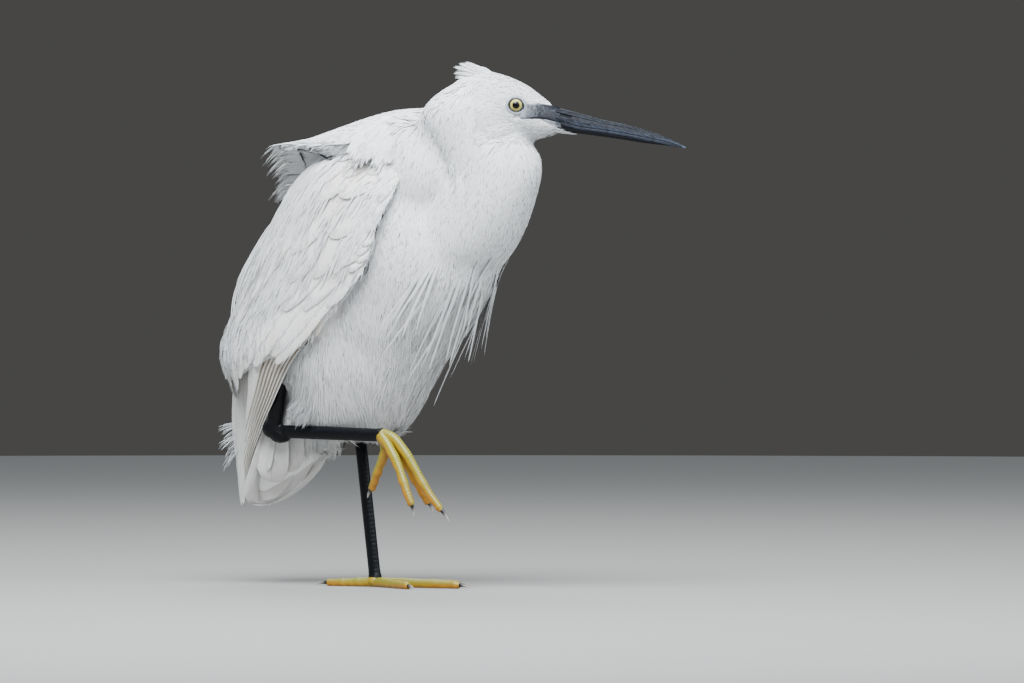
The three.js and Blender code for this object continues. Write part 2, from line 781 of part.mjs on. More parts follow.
// Loose plumes that stand off the wing's rear edge
function edgePlumes(side) {
  const plumes = [];
  for (let i = 0; i < EDGE_PLUMES; i += 1) {
    const points = [0, 0.35, 0.7, 1].map((t) => {
      const down = EDGE_PLUME_START + EDGE_PLUME_STEP * i + EDGE_PLUME_LENGTH * t;
      const lift = -1 + EDGE_PLUME_LIFT * Math.sin(t * 2) + vary(i, 3) * t;
      return wingPoint(side, 0.9 + 0.02 * i, wingHeight(1, down), lift);
    });
    const size = (t) => [EDGE_PLUME_DEPTH, THREE.MathUtils.lerp(EDGE_PLUME_WIDTH, EDGE_PLUME_TIP_WIDTH, t)];
    plumes.push(solid(limb(new THREE.CatmullRomCurve3(points), 5, size, SMALL_RING)));
  }
  return plumes;
}

// Wing folded against the body: a shell under rows of feathers, and primaries below
function wingSolid(side) {
  const shellPoint = (t, across, lift) => (
    wingPoint(side, across, wingHeight(across, t * WING_SHELL_END), lift)
  );
  const shell = slab(
    7,
    6,
    (t, across) => shellPoint(t, across, -WING_SHELL_TAPER * THREE.MathUtils.smoothstep(t, 0.65, 1)),
    (t, across) => shellPoint(t, across, -WING_SHELL),
  );
  return wasm.Manifold.union([
    solid(shell),
    ...wingFeathers(side),
    ...primaryFeathers(side),
    ...edgePlumes(side),
  ]);
}

// Closed form that holds both folded wings and what lies between them
function wingEnvelope() {
  const rings = [];
  for (let r = 0; r <= ENVELOPE_RINGS; r += 1) {
    const z = THREE.MathUtils.lerp(ENVELOPE_FOOT, WING_TOP + 2, r / ENVELOPE_RINGS);
    const [, middle, halfLength, halfWidth] = stationFor(WING_STATIONS, z);
    rings.push(levelRing(middle, 0, z, halfLength + ENVELOPE_LIFT, halfWidth + ENVELOPE_LIFT, 0, BODY_RING));
  }
  return solid(loft(rings));
}

// Point of the cape of back feathers that the wind lifts
function mantlePoint(along, across, lift, sink) {
  const place = Math.min(along, 1) * (MANTLE_STATIONS.length - 1);
  const [x, top, halfWidth, droop, thickness] = stationAt(MANTLE_STATIONS, place);
  const beyond = Math.max(along - 1, 0) * MANTLE_BEYOND;
  const offset = across * 2 - 1;
  return new THREE.Vector3(
    x - beyond,
    MANTLE_SHIFT + offset * (halfWidth + lift * 0.5) * (sink ? MANTLE_NARROW : 1),
    top - beyond * MANTLE_FALL - droop * offset * offset + lift - (sink ? thickness : 0),
  );
}

// Cape of back feathers, its rear edge ragged
function mantleSolid() {
  const feathers = [];
  MANTLE_TIERS.forEach((tier, row) => {
    for (let i = 0; i < tier.count; i += 1) {
      const middle = (i + 0.5) / tier.count;
      const half = (0.5 / tier.count) * tier.overlap;
      const tip = tier.tip + vary(row, i, 5) * 0.03;
      const place = (t, aside, lift) => {
        const along = THREE.MathUtils.lerp(tier.root, tip, t);
        return mantlePoint(along, THREE.MathUtils.clamp(middle + aside * half, 0, 1), lift, false);
      };
      feathers.push(vane(COVERT_OUTLINE, place, tier.rise, VANE_THICKNESS));
    }
  });
  const cape = slab(
    8,
    6,
    (t, across) => mantlePoint(t * 0.99, across, -0.6 * t, false),
    (t, across) => mantlePoint(t * 0.99, across, 0, true),
  );
  return wasm.Manifold.union([solid(cape), ...feathers]);
}

// Tail fan, feather by feather, with the soft feathers under it
function tailSolid() {
  const feathers = [];
  const direction = TAIL_TIP.clone().sub(TAIL_ROOT);
  const under = new THREE.Vector3(-direction.z, 0, direction.x).normalize();
  for (let i = 0; i < TAIL_FEATHERS; i += 1) {
    const spread = ((i + 0.5) / TAIL_FEATHERS) * 2 - 1;
    const fall = TAIL_FALL * spread * spread + TAIL_STACK * Math.abs(spread);
    const place = (t, aside, lift) => {
      const reach = t * (1 - TAIL_ROUNDING * spread * spread);
      const point = TAIL_ROOT.clone().addScaledVector(direction, reach);
      point.y += spread * THREE.MathUtils.lerp(TAIL_ROOT_HALF, TAIL_TIP_HALF, t);
      point.y += aside * TAIL_FEATHER_WIDTH * 0.5 * (0.6 + 0.4 * t) * Math.sign(spread);
      return point.addScaledVector(under, fall + lift);
    };
    feathers.push(vane(TAIL_OUTLINE, place, 0, TAIL_THICKNESS));
  }
  const read = ([z, x, length, width]) => [x, 0, z, length, width, 0];
  const coverts = levelLoft(UNDERTAIL_STATIONS, UNDERTAIL_RINGS, UNDERTAIL_RING, read);
  return wasm.Manifold.union([solid(coverts), ...feathers]);
}

// Feathered thigh of the raised leg
function thighGeometry() {
  const foot = RIGHT_SHANK_TOP.clone().add(new THREE.Vector3(0, 0, -LEG_LAP));
  const size = (t) => [
    THREE.MathUtils.lerp(THIGH_TOP_DEPTH, THIGH_FOOT, t * t),
    THREE.MathUtils.lerp(THIGH_TOP_WIDTH, THIGH_FOOT - 1, t * t),
  ];
  return limb(new THREE.LineCurve3(RIGHT_THIGH_TOP, foot), 5, size, LEG_RING);
}

// Bare lower thigh down to the heel
function shankGeometry() {
  const top = RIGHT_SHANK_TOP.clone().add(new THREE.Vector3(0, 0, LEG_LAP));
  const size = (t) => [
    THREE.MathUtils.lerp(SHANK_TOP, HOCK_RADIUS, t ** 4),
    THREE.MathUtils.lerp(SHANK_TOP, HOCK_RADIUS - HOCK_FLATTEN, t ** 4),
  ];
  return limb(new THREE.LineCurve3(top, RIGHT_HOCK), 6, size, LEG_RING);
}

// Shin from the heel joint to the toe joint, thicker at both
function shinGeometry(hock, toeJoint) {
  const curve = new THREE.LineCurve3(hock, toeJoint);
  const size = (t) => {
    const heel = Math.max(0, 1 - t / HEEL_SHARE) ** 1.5;
    const toe = Math.max(0, 1 - (1 - t) / TOE_JOINT_SHARE) ** 2;
    return [SHIN_DEPTH + heel * 1.9 + toe * 0.6, SHIN_WIDTH + heel * 1.4 + toe * 1.2];
  };
  return limb(curve, 9, size, LEG_RING);
}

// Toe from the toe joint to the root of its claw
function toeGeometry(toe, floor) {
  const curve = new THREE.CatmullRomCurve3(toe.path.map((p) => new THREE.Vector3(...p)));
  const size = (t) => {
    const radius = TOE_RADIUS * (TOE_SWELL - TOE_TAPER * Math.sqrt(t));
    return [radius, radius * (floor ? 1.05 : 0.9)];
  };
  return limb(curve, TOE_SEGMENTS, size, TOE_RING);
}

// Claw: a curved cone
function clawGeometry(toe) {
  const root = new THREE.Vector3(...toe.path[toe.path.length - 1]);
  const before = new THREE.Vector3(...toe.path[toe.path.length - 2]);
  const tip = new THREE.Vector3(...toe.claw);
  const start = root.clone().add(before.sub(root).setLength(CLAW_LAP));
  const middle = start.clone().lerp(tip, 0.5);
  middle.z += CLAW_ARCH;
  const size = (t) => [
    THREE.MathUtils.lerp(CLAW_DEPTH, CLAW_POINT, t),
    THREE.MathUtils.lerp(CLAW_WIDTH, CLAW_POINT, t),
  ];
  return limb(new THREE.QuadraticBezierCurve3(start, middle, tip), CLAW_SEGMENTS, size, CLAW_RING);
}

// Foot, its toes joined at the toe joint; the standing foot is cut level with the floor
function footSolid(toes, floor) {
  let body = null;
  for (const toe of Object.values(toes)) {
    const part = solid(toeGeometry(toe, floor));
    body = body ? body.add(part) : part;
  }
  return body;
}

// Slab of empty space under the floor
function underFloor() {
  const geometry = new THREE.BoxGeometry(FLOOR_SIZE, FLOOR_SIZE, FLOOR_DEPTH);
  geometry.translate(0, 0, -FLOOR_DEPTH / 2);
  geometry.deleteAttribute('normal');
  geometry.deleteAttribute('uv');
  return solid(mergedByPlace(geometry));
}

const group = new THREE.Group();
group.name = 'little_egret';

// Body
const [trunk, rump] = torsoGeometries();
const neckShape = neckGeometry();
const torsoSwollen = swollen(trunk, GAP).add(swollen(rump, GAP));
const neckSwollen = swollen(neckShape, GAP);
const torso = wasm.Manifold.union([solid(trunk), solid(rump), ...breastPlumes()]);
group.add(node('torso', torso, WHITE_FEATHER));
const headShape = headGeometry();
const crest = crestPlumes();
const headSwollen = wasm.Manifold.union([headShape, ...crest].map((shape) => swollen(shape, GAP)));
group.add(node('neck', solid(neckShape).subtract(torsoSwollen).subtract(headSwollen), WHITE_FEATHER));

// Head, eyes and bill
let head = wasm.Manifold.union([...[headShape, ...crest].map(solid), lidRing(-1), lidRing(1)]);
let upperBill = solid(billGeometry(true)).subtract(headSwollen);
for (const side of [-1, 1]) {
  head = head.subtract(solid(eyeGeometry(side, GAP))).subtract(gapeGroove(side));
  upperBill = upperBill.subtract(nostrilSlit(side));
}
group.add(node('head', head, WHITE_FEATHER));
group.add(node('eye_right', solid(eyeGeometry(-1, 0)), EYE_GLOSS));
group.add(node('eye_left', solid(eyeGeometry(1, 0)), EYE_GLOSS));
group.add(node('bill_upper', upperBill, BILL_HORN));
group.add(node('bill_lower', solid(billGeometry(false)).subtract(headSwollen), BILL_HORN));

// Raised right leg
const thighShape = thighGeometry();
const shankShape = shankGeometry();
const rightShin = shinGeometry(RIGHT_HOCK, RIGHT_TOE_JOINT);
const [thighSwollen, shankSwollen, shinSwollen] = [thighShape, shankShape, rightShin]
  .map((shape) => swollen(shape, LIMB_GAP));
const legSwollen = wasm.Manifold.union([thighSwollen, shankSwollen, shinSwollen]);
const shank = solid(shankShape).subtract(thighSwollen).subtract(torsoSwollen);
const tarsus = solid(rightShin).subtract(shankSwollen).subtract(torsoSwollen);
const raisedFoot = footSolid(RIGHT_TOES, false).subtract(shinSwollen);
group.add(node('thigh_right', solid(thighShape).subtract(torsoSwollen), WHITE_FEATHER));
group.add(node('shank_right', shank, LEG_SKIN));
group.add(node('tarsus_right', tarsus, LEG_SKIN));
group.add(node('foot_right', raisedFoot, TOE_SKIN));

// Wings, mantle and tail
const flesh = torsoSwollen.add(neckSwollen).add(headSwollen).add(legSwollen);
for (const [name, side] of [['wing_right', -1], ['wing_left', 1]]) {
  group.add(node(name, wingSolid(side).subtract(flesh), WHITE_FEATHER));
}
const envelope = wingEnvelope();
group.add(node('mantle', mantleSolid().subtract(flesh).subtract(envelope), WHITE_FEATHER));
group.add(node('tail', tailSolid().subtract(flesh), WHITE_FEATHER));

// Standing left leg
const leftShin = shinGeometry(LEFT_HOCK, LEFT_TOE_JOINT);
const floorCut = underFloor();
group.add(node('tarsus_left', solid(leftShin).subtract(torsoSwollen), LEG_SKIN));
const standingFoot = footSolid(LEFT_TOES, true).subtract(swollen(leftShin, LIMB_GAP)).subtract(floorCut);
group.add(node('foot_left', standingFoot, TOE_SKIN));

// Claws
for (const [side, toes, floor] of [['right', RIGHT_TOES, false], ['left', LEFT_TOES, true]]) {
  for (const [which, toe] of Object.entries(toes)) {
    const claw = solid(clawGeometry(toe)).subtract(swollen(toeGeometry(toe, floor), LIMB_GAP));
    group.add(node(`claw_${side}_${which}`, claw.subtract(floorCut), CLAW_HORN));
  }
}

export default group;
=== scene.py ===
# A little egret at rest, life size: it stands on its left leg, holds the right one up
# and draws its neck in. Sizes in the tables are millimetres, +Z up, +X the way the body
# faces and +Y its left side, as in the solids; MM turns them into metres.

import math

import bpy
import numpy as np
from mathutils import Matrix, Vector
from mathutils.bvhtree import BVHTree


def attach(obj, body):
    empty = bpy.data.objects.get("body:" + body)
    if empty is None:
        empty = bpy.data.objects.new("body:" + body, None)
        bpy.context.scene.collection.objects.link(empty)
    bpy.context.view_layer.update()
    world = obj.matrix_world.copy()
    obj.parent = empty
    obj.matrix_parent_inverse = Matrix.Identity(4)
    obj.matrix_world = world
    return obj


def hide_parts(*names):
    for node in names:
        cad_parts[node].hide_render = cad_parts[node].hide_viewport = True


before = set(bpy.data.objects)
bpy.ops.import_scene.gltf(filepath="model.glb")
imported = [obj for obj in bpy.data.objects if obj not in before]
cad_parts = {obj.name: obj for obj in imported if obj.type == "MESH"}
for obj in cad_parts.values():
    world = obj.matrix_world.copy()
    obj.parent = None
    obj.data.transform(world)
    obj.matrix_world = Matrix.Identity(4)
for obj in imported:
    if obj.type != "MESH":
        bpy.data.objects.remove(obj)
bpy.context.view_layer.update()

MM = 0.001


# Camera: a long lens level with the bird, from its right front. The photograph's field is
# 640 mm wide where the bird stands.
VIEW_AZIMUTH = 35
VIEW_ELEVATION = 1.0
LENS = 400
SENSOR = 36
FIELD_WIDTH = 0.64
AIM_RIGHT = 0.0831
AIM_HEIGHT = 0.1534


def way_out(azimuth, elevation):
    """Way from the bird to something round it, from two angles in degrees."""
    a, e = math.radians(azimuth), math.radians(elevation)
    return Vector((math.sin(a) * math.cos(e), -math.cos(a) * math.cos(e), math.sin(e)))


def put(name, data):
    """Object in the scene for a mesh, a lamp or the camera."""
    thing = bpy.data.objects.new(name, data)
    bpy.context.collection.objects.link(thing)
    return thing


def set_up(name, data, place, way, front):
    """Camera or lamp at a place, turned so that its front lies along a way."""
    thing = put(name, data)
    thing.location = place
    thing.rotation_mode = "QUATERNION"
    thing.rotation_quaternion = way.to_track_quat(front, "Y")
    return thing


picture_turn = math.radians(VIEW_AZIMUTH)
aim = Vector((AIM_RIGHT * math.cos(picture_turn), AIM_RIGHT * math.sin(picture_turn), AIM_HEIGHT))
toward_camera = way_out(VIEW_AZIMUTH, VIEW_ELEVATION)
lens = bpy.data.cameras.new("camera")
lens.lens = LENS
lens.sensor_width = SENSOR
lens.clip_end = 50
bpy.context.scene.camera = set_up(
    "camera", lens, aim + toward_camera * (FIELD_WIDTH * LENS / SENSOR), -toward_camera, "-Z",
)


# Studio: a plain pale floor under the bird, an even grey room, a broad soft light from
# above, and a weaker one from the right and one from behind that keep the shade open.
FLOOR_RADIUS = 3.0
FLOOR_SIDES = 96
ROOM_GREY = 0.07
ROOM_LIGHT = 0.42


def area_light(name, azimuth, elevation, distance, size, power, color):
    light = bpy.data.lights.new(name, "AREA")
    light.shape = "DISK"
    light.size = size
    light.energy = power
    light.color = color
    away = way_out(azimuth, elevation)
    set_up(name, light, Vector((0.02, 0, 0.17)) + away * distance, away, "Z")


def add_node(tree, kind, settings=None, **inputs):
    """Node with its settings and its unlinked inputs; an input that is a socket is linked."""
    node = tree.nodes.new(kind)
    for key, value in (settings or {}).items():
        setattr(node, key, value)
    for key, value in inputs.items():
        target = node.inputs[int(key[1:])] if key[1:].isdigit() else node.inputs[key.replace("_", " ")]
        if isinstance(value, bpy.types.NodeSocket):
            tree.links.new(value, target)
        else:
            target.default_value = value
    return node


def new_look(name, **constants):
    """Material with constants set on its shader; returns it, its tree and the shader."""
    look = bpy.data.materials.new(name)
    look.use_nodes = True
    shader = look.node_tree.nodes["Principled BSDF"]
    for key, value in constants.items():
        shader.inputs[key.replace("_", " ")].default_value = value
    return look, look.node_tree, shader


area_light("light_sky", 22, 56, 1.6, 1.3, 104, (0.915, 0.963, 1.0))
area_light("light_front", 85, 28, 1.8, 1.1, 20, (0.9, 0.955, 1.0))
area_light("light_back", 215, 50, 1.6, 0.9, 14, (0.97, 0.985, 1.0))

room = bpy.data.worlds.new("room")
room.use_nodes = True
room_tree = room.node_tree
room_tree.nodes.clear()
seen_room = add_node(
    room_tree, "ShaderNodeBackground", Color=(ROOM_GREY, ROOM_GREY * 0.985, ROOM_GREY * 0.96, 1),
)
lit_room = add_node(room_tree, "ShaderNodeBackground", Color=(0.86, 0.94, 1.0, 1), Strength=ROOM_LIGHT)
room_mix = add_node(
    room_tree, "ShaderNodeMixShader", i1=lit_room.outputs["Background"], i2=seen_room.outputs["Background"],
    i0=add_node(room_tree, "ShaderNodeLightPath").outputs["Is Camera Ray"],
)
add_node(room_tree, "ShaderNodeOutputWorld", Surface=room_mix.outputs["Shader"])
bpy.context.scene.world = room

floor_mesh = bpy.data.meshes.new("floor")
floor_angles = [2 * math.pi * side / FLOOR_SIDES for side in range(FLOOR_SIDES)]
floor_mesh.from_pydata(
    [(FLOOR_RADIUS * math.cos(a), FLOOR_RADIUS * math.sin(a), 0) for a in floor_angles],
    [],
    [tuple(range(FLOOR_SIDES))],
)
floor = put("floor", floor_mesh)
floor_mesh.materials.append(new_look("floor_pale", Base_Color=(0.245, 0.24, 0.232, 1), Roughness=0.8)[0])


# Plumage material: a shader group tints white feathers with a soft cream or grey drift and
# a tone that changes from barb to barb, which low on the body also carries painted shade.
# Every feathered piece uses it with its own values.
def shader_group(name, inputs, outputs):
    """Shader group with named sockets; returns it and the sockets inside that it reads."""
    group = bpy.data.node_groups.new(name, "ShaderNodeTree")
    for socket, preset in inputs.items():
        kind = {1: "NodeSocketFloat", 3: "NodeSocketVector", 4: "NodeSocketColor"}[np.size(preset)]
        group.interface.new_socket(socket, in_out="INPUT", socket_type=kind).default_value = preset
    for socket in outputs:
        kind = "NodeSocketColor" if socket == "Color" else "NodeSocketFloat"
        group.interface.new_socket(socket, in_out="OUTPUT", socket_type=kind)
    return group, add_node(group, "NodeGroupInput").outputs


def reckon(tree, operation, *values):
    """Socket with the result of a sum of numbers and sockets."""
    values = {f"i{place}": value for place, value in enumerate(values)}
    return add_node(tree, "ShaderNodeMath", {"operation": operation}, **values).outputs[0]


def mixed(tree, share, first, second, how="MIX"):
    """Socket with the mix of two colours."""
    settings = {"data_type": "RGBA", "blend_type": how}
    return add_node(tree, "ShaderNodeMix", settings, i0=share, i6=first, i7=second).outputs[2]


def stretch_to(tree, value, low, high, first=0.0, last=1.0, how="LINEAR"):
    """Socket that runs from first to last as a value runs from low to high."""
    return add_node(
        tree, "ShaderNodeMapRange", {"interpolation_type": how}, Value=value, From_Min=low,
        From_Max=high, To_Min=first, To_Max=last,
    ).outputs["Result"]


def noise(tree, place, scale, detail, **more):
    spots = add_node(tree, "ShaderNodeTexNoise", Vector=place, Scale=scale, Detail=detail, **more)
    return spots.outputs["Fac"]


def object_place(tree):
    return add_node(tree, "ShaderNodeTexCoord").outputs["Object"]


def map_place(tree, name):
    return add_node(tree, "ShaderNodeUVMap", {"uv_map": name}).outputs["UV"]


def point_value(tree, name):
    """Socket with a value that mark() gave the mesh's points."""
    return add_node(tree, "ShaderNodeAttribute", {"attribute_name": name}).outputs["Fac"]


def dress(tree, shader, color, height=None, strength=0.0, depth=0.0):
    """Gives the shader its colour and the relief of its surface."""
    tree.links.new(color, shader.inputs["Base Color"])
    if height:
        bumps = add_node(tree, "ShaderNodeBump", Strength=strength, Distance=depth, Height=height)
        tree.links.new(bumps.outputs["Normal"], shader.inputs["Normal"])


plumage_tint, tint_in = shader_group("plumage_tint", {
    "White": (0.86, 0.87, 0.88, 1), "Shade": (0.62, 0.62, 0.62, 1), "Drift": 0.3, "Scale": 60.0,
    "Tone": 0.0,
}, ["Color"])
tint_spots = noise(plumage_tint, object_place(plumage_tint), tint_in["Scale"], 3.0)
tint_drift = stretch_to(plumage_tint, tint_spots, 0.42, 0.68)
tint_amount = reckon(plumage_tint, "MULTIPLY_ADD", tint_drift, tint_in["Drift"], tint_in["Tone"])
tint_color = mixed(plumage_tint, tint_amount, tint_in["White"], tint_in["Shade"])
add_node(plumage_tint, "NodeGroupOutput", Color=tint_color)


def plumage(name, white, shade, drift, scale, roughness):
    """Material of white feathers; returns it, its tree, its shader and the tinted colour."""
    look, tree, shader = new_look(
        name, Roughness=roughness, Specular_IOR_Level=0.25, Subsurface_Weight=0.3,
        Subsurface_Radius=(0.0015, 0.0015, 0.0015), Subsurface_Scale=1.0,
    )
    tinted = add_node(
        tree, "ShaderNodeGroup", {"node_tree": plumage_tint}, White=(*white, 1), Shade=(*shade, 1),
        Drift=drift, Scale=scale, Tone=point_value(tree, "tone"),
    ).outputs["Color"]
    dress(tree, shader, tinted)
    return look, tree, shader, tinted


feather_skin = plumage("feather_down", (0.9, 0.9, 0.9), (0.75, 0.75, 0.74), 0.2, 45.0, 0.9)[0]
coat_look = plumage("coat_white", (0.9, 0.92, 0.945), (0.74, 0.75, 0.765), 0.1, 40.0, 0.7)[0]
# Coat of the trunk, throat and loose belly barbs: a greyer white with a darker shade colour than the head's
# and neck's, as painted shade.
body_look_shaded = plumage("coat_body_white_painted_shade", (0.86, 0.875, 0.89), (0.6, 0.597, 0.585), 0.16, 30.0, 0.7)[0]
# Cape sheet and ragged tips: a brighter white than the rest of the plumage, painted light that lifts their
# shaded undersides.
cape_look_lightened = plumage("cape_white_painted_light", (0.96, 0.97, 0.985), (0.8, 0.81, 0.825), 0.1, 40.0, 0.7)[0]


# Skin: trunk, rump, folded neck, head and right thigh as one closed surface without a
# seam. Each is lofted over its stations, they are fused, and the whole is drawn in by
# the depth of the plumage that grows on it.
TORSO_STATIONS = [
    # height, middle forward, half length, half width
    (94, -20, 20, 15),
    (98, -20, 34, 27),
    (108, -19, 42, 34),
    (121, -16, 47, 38),
    (134, -16, 55, 42),
    (148, -20, 70, 44),
    (163, -16, 81, 46),
    (177, -10, 85, 47),
    (194, -1, 86, 48),
    (208, 3, 83, 49),
    (220, 5, 76, 49),
    (233, 5.5, 67, 49),
    (246, 5.5, 56.5, 46.5),
    (258, 6, 45, 42.5),
    (267, 9, 34.5, 36.5),
    (276, 12, 22.5, 27),
    (283, 14, 11, 14),
]
RUMP_STATIONS = [
    (98, -78, 11, 15),
    (108, -76, 18, 21),
    (124, -70, 25, 26),
    (142, -62, 31, 31),
    (160, -52, 34, 34),
    (180, -40, 30, 30),
]
NECK_STATIONS = [
    # height, middle forward, middle left, half length, half width, turn in degrees
    (186, 38, 0, 24, 20, 0),
    (196, 44, 0, 38, 29, 0),
    (210, 55, 0, 42, 33, 0),
    (228, 67, 0, 41, 32, 0),
    (245, 76, 0, 39, 30, 0),
    (258, 80, 0, 38, 29, 6),
    (268, 80.5, -1, 37, 28, 12),
    (277, 77.5, -3, 35, 27, 20),
    (288, 75.5, -7, 33, 24, 30),
    (298, 77.5, -10.8, 30, 19.5, 35),
    (306, 78.3, -10.3, 24, 15.5, 35),
    (313, 82, -7.7, 18, 11, 35),
    (318, 84.6, -5.9, 12, 6.5, 35),
]
HEAD_TURN = math.radians(35)
HEAD_ORIGIN = np.array((93.0, 0.0, 0.0))
HEAD_ORIGIN_REACH = 76.2
HEAD_STATIONS = [
    # distance along the bill's direction, middle height, half height, half width
    (47, 305, 6, 5),
    (50, 304.5, 12.5, 10),
    (57, 303, 18, 14),
    (66, 301.7, 20.6, 15.6),
    (76, 299.8, 20.6, 15.8),
    (85, 297.8, 19.4, 14.4),
    (93, 296, 17.2, 12),
    (100, 294.2, 14, 9.2),
    (107, 292.2, 10.4, 6.6),
    (113, 291, 6.6, 4.6),
    (117, 290.6, 3, 2.4),
]
UNDERTAIL_STATIONS = [
    (57, -86, 6, 9),
    (64, -79, 13, 14),
    (74, -71, 20, 18),
    (86, -62, 26, 21),
    (98, -55, 30, 23),
    (110, -50, 30, 22),
    (122, -46, 22, 16),
]
SHOULDER_STATIONS = [
    # height, middle forward, half length, half width of each shoulder
    (222, 24, 8, 4),
    (230, 26, 24, 12),
    (241, 29, 34, 17),
    (253, 32, 37, 19),
    (264, 33, 37, 18.5),
    (275, 31, 34, 16),
    (285, 28, 28, 12),
    (292, 25, 18, 8),
    (296, 24, 8, 4),
]
SHOULDER_ASIDE = 20
THIGH_TOP = np.array((-36.0, -27.0, 150.0))
THIGH_FOOT = np.array((-51.0, -31.5, 128.0))
SKIN_VOXEL = 1.9
SKIN_SMOOTHING = 9
HEAD_DEPTH = 0.7
NECK_DEPTH = 0.9
BODY_DEPTH = 1.5
CREASES = [
    # depth and width of a fold in the plumage, distance along the bill's direction and
    # height of the points it runs through
    (1.3, 1.9, [
        (56.2, 318), (56.2, 304.4), (57, 295), (60.6, 287), (68.8, 279.8), (75.6, 280.6), (83.8, 283),
    ]),
    (1.9, 1.9, [(23.8, 297), (28.5, 288), (34, 278.5), (38, 272), (42, 260.6), (45, 250)]),
    (2.4, 1.7, [(40.6, 270), (41.6, 266)]),
    (2.2, 1.6, [(45.6, 262), (47, 259)]),
    (2.0, 1.5, [(51, 257), (54, 254)]),
]

FORWARD = np.array((1.0, 0.0, 0.0))
UP = np.array((0.0, 0.0, 1.0))
BILL_WAY = np.array((math.cos(HEAD_TURN), math.sin(HEAD_TURN), 0.0))
HEAD_ASIDE = np.array((-math.sin(HEAD_TURN), math.cos(HEAD_TURN), 0.0))


def station_at(stations, place):
    """Rows of a station table at fractional places, smooth through each row."""
    table = np.asarray(stations, float)
    last = len(table) - 1
    place = np.clip(np.asarray(place, float), 0, last)
    index = np.minimum(place.astype(int), last - 1)
    t = (place - index)[..., None]
    a, b = table[index], table[index + 1]
    slope_a = (b - table[np.maximum(index - 1, 0)]) / 2
    slope_b = (table[np.minimum(index + 2, last)] - a) / 2
    return a + (b - a) * t * t * (3 - 2 * t) + t * (1 - t) ** 2 * slope_a - t * t * (1 - t) * slope_b


def station_for(stations, key):
    """Rows of a station table at given values of its first column."""
    keys = [row[0] for row in stations]
    return station_at(stations, np.interp(key, keys, np.arange(len(keys))))


def smoothstep(value, low, high):
    t = np.clip((np.asarray(value, float) - low) / (high - low), 0, 1)
    return t * t * (3 - 2 * t)


def unit(vectors):
    vectors = np.asarray(vectors, float)
    return vectors / np.maximum(np.linalg.norm(vectors, axis=-1, keepdims=True), 1e-9)


def head_point(reach, aside, height):
    """Point of the head from its distance along the bill, its side offset and its height."""
    reach, aside, height = np.broadcast_arrays(*(np.asarray(v, float) for v in (reach, aside, height)))
    flat = (reach - HEAD_ORIGIN_REACH)[..., None] * BILL_WAY + aside[..., None] * HEAD_ASIDE
    return HEAD_ORIGIN + flat + height[..., None] * UP


def head_place(points):
    """Distance along the bill and side offset of points of the head."""
    flat = points - HEAD_ORIGIN
    return flat @ BILL_WAY + HEAD_ORIGIN_REACH, flat @ HEAD_ASIDE


def outward(points, quads, triangles=()):
    """The same faces, turned round if the closed skin they make is inside out."""
    triangles = np.asarray(triangles, int).reshape(-1, 3)
    a, b, c, d = (points[quads[:, k]] for k in range(4))
    e, f, g = (points[triangles[:, k]] for k in range(3))
    volume = (np.cross(a, b) * c).sum() + (np.cross(a, c) * d).sum() + (np.cross(e, f) * g).sum()
    if volume < 0:
        return quads[:, ::-1], triangles[:, ::-1]
    return quads, triangles


def lofted(rings):
    """Points and outward faces of a closed skin over rings of points."""
    rings = np.asarray(rings, float)
    count = rings.shape[1]
    points = np.concatenate([rings.reshape(-1, 3), rings[[0, -1]].mean(axis=1)])
    rows, columns = np.meshgrid(np.arange(len(rings) - 1), np.arange(count), indexing="ij")
    a = rows * count + columns
    b = rows * count + (columns + 1) % count
    quads = np.stack([a, b, b + count, a + count], axis=-1).reshape(-1, 4)
    edge = np.arange(count)
    ahead = (edge + 1) % count
    first, last = len(points) - 2, len(points) - 1
    end = (len(rings) - 1) * count
    caps = np.concatenate([
        np.stack([np.full(count, first), ahead, edge], axis=-1),
        np.stack([np.full(count, last), edge + end, ahead + end], axis=-1),
    ])
    return points, *outward(points, quads, caps)


def make_mesh(name, points, quads, triangles=(), look=None):
    """Mesh data in metres from points in millimetres."""
    quads = np.asarray(quads, int).reshape(-1, 4)
    triangles = np.asarray(triangles, int).reshape(-1, 3)
    mesh = bpy.data.meshes.new(name)
    corners = np.concatenate([quads.ravel(), triangles.ravel()]).astype(np.int32)
    starts = np.concatenate([np.arange(len(quads)) * 4, len(quads) * 4 + np.arange(len(triangles)) * 3])
    mesh.vertices.add(len(points))
    mesh.vertices.foreach_set("co", (np.asarray(points) * MM).astype(np.float32).ravel())
    mesh.loops.add(len(corners))
    mesh.loops.foreach_set("vertex_index", corners)
    mesh.polygons.add(len(starts))
    mesh.polygons.foreach_set("loop_start", starts.astype(np.int32))
    mesh.polygons.foreach_set("use_smooth", np.ones(len(starts), bool))
    mesh.update(calc_edges=True)
    if look:
        mesh.materials.append(look)
    return mesh


def make_piece(name, mesh, replaced=()):
    """Object for a finished mesh, riding on the bird's one body."""
    piece = put(name, mesh)
    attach(piece, "root")
    if replaced:
        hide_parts(*replaced)


def full_turn(count):
    """Angles once round."""
    return np.linspace(0, 2 * math.pi, count, endpoint=False)


def level_rings(rows, ring_count, ring_size, aside=0.0):
    """Level ellipses over a row of stations, which may give their own side offset and turn."""
    angle = full_turn(ring_size)
    rings = []
    for row in station_at(rows, np.linspace(0, len(rows) - 1, ring_count)):
        if len(row) == 4:
            row = (row[0], row[1], aside, row[2], row[3], 0.0)
        z, x, y, half_length, half_width, turn = row
        turn = math.radians(turn)
        along, across = np.cos(angle) * half_length, np.sin(angle) * half_width
        rings.append(np.stack([
            x + along * math.cos(turn) - across * math.sin(turn),
            y + along * math.sin(turn) + across * math.cos(turn),
            np.full(ring_size, z),
        ], axis=-1))
    return rings


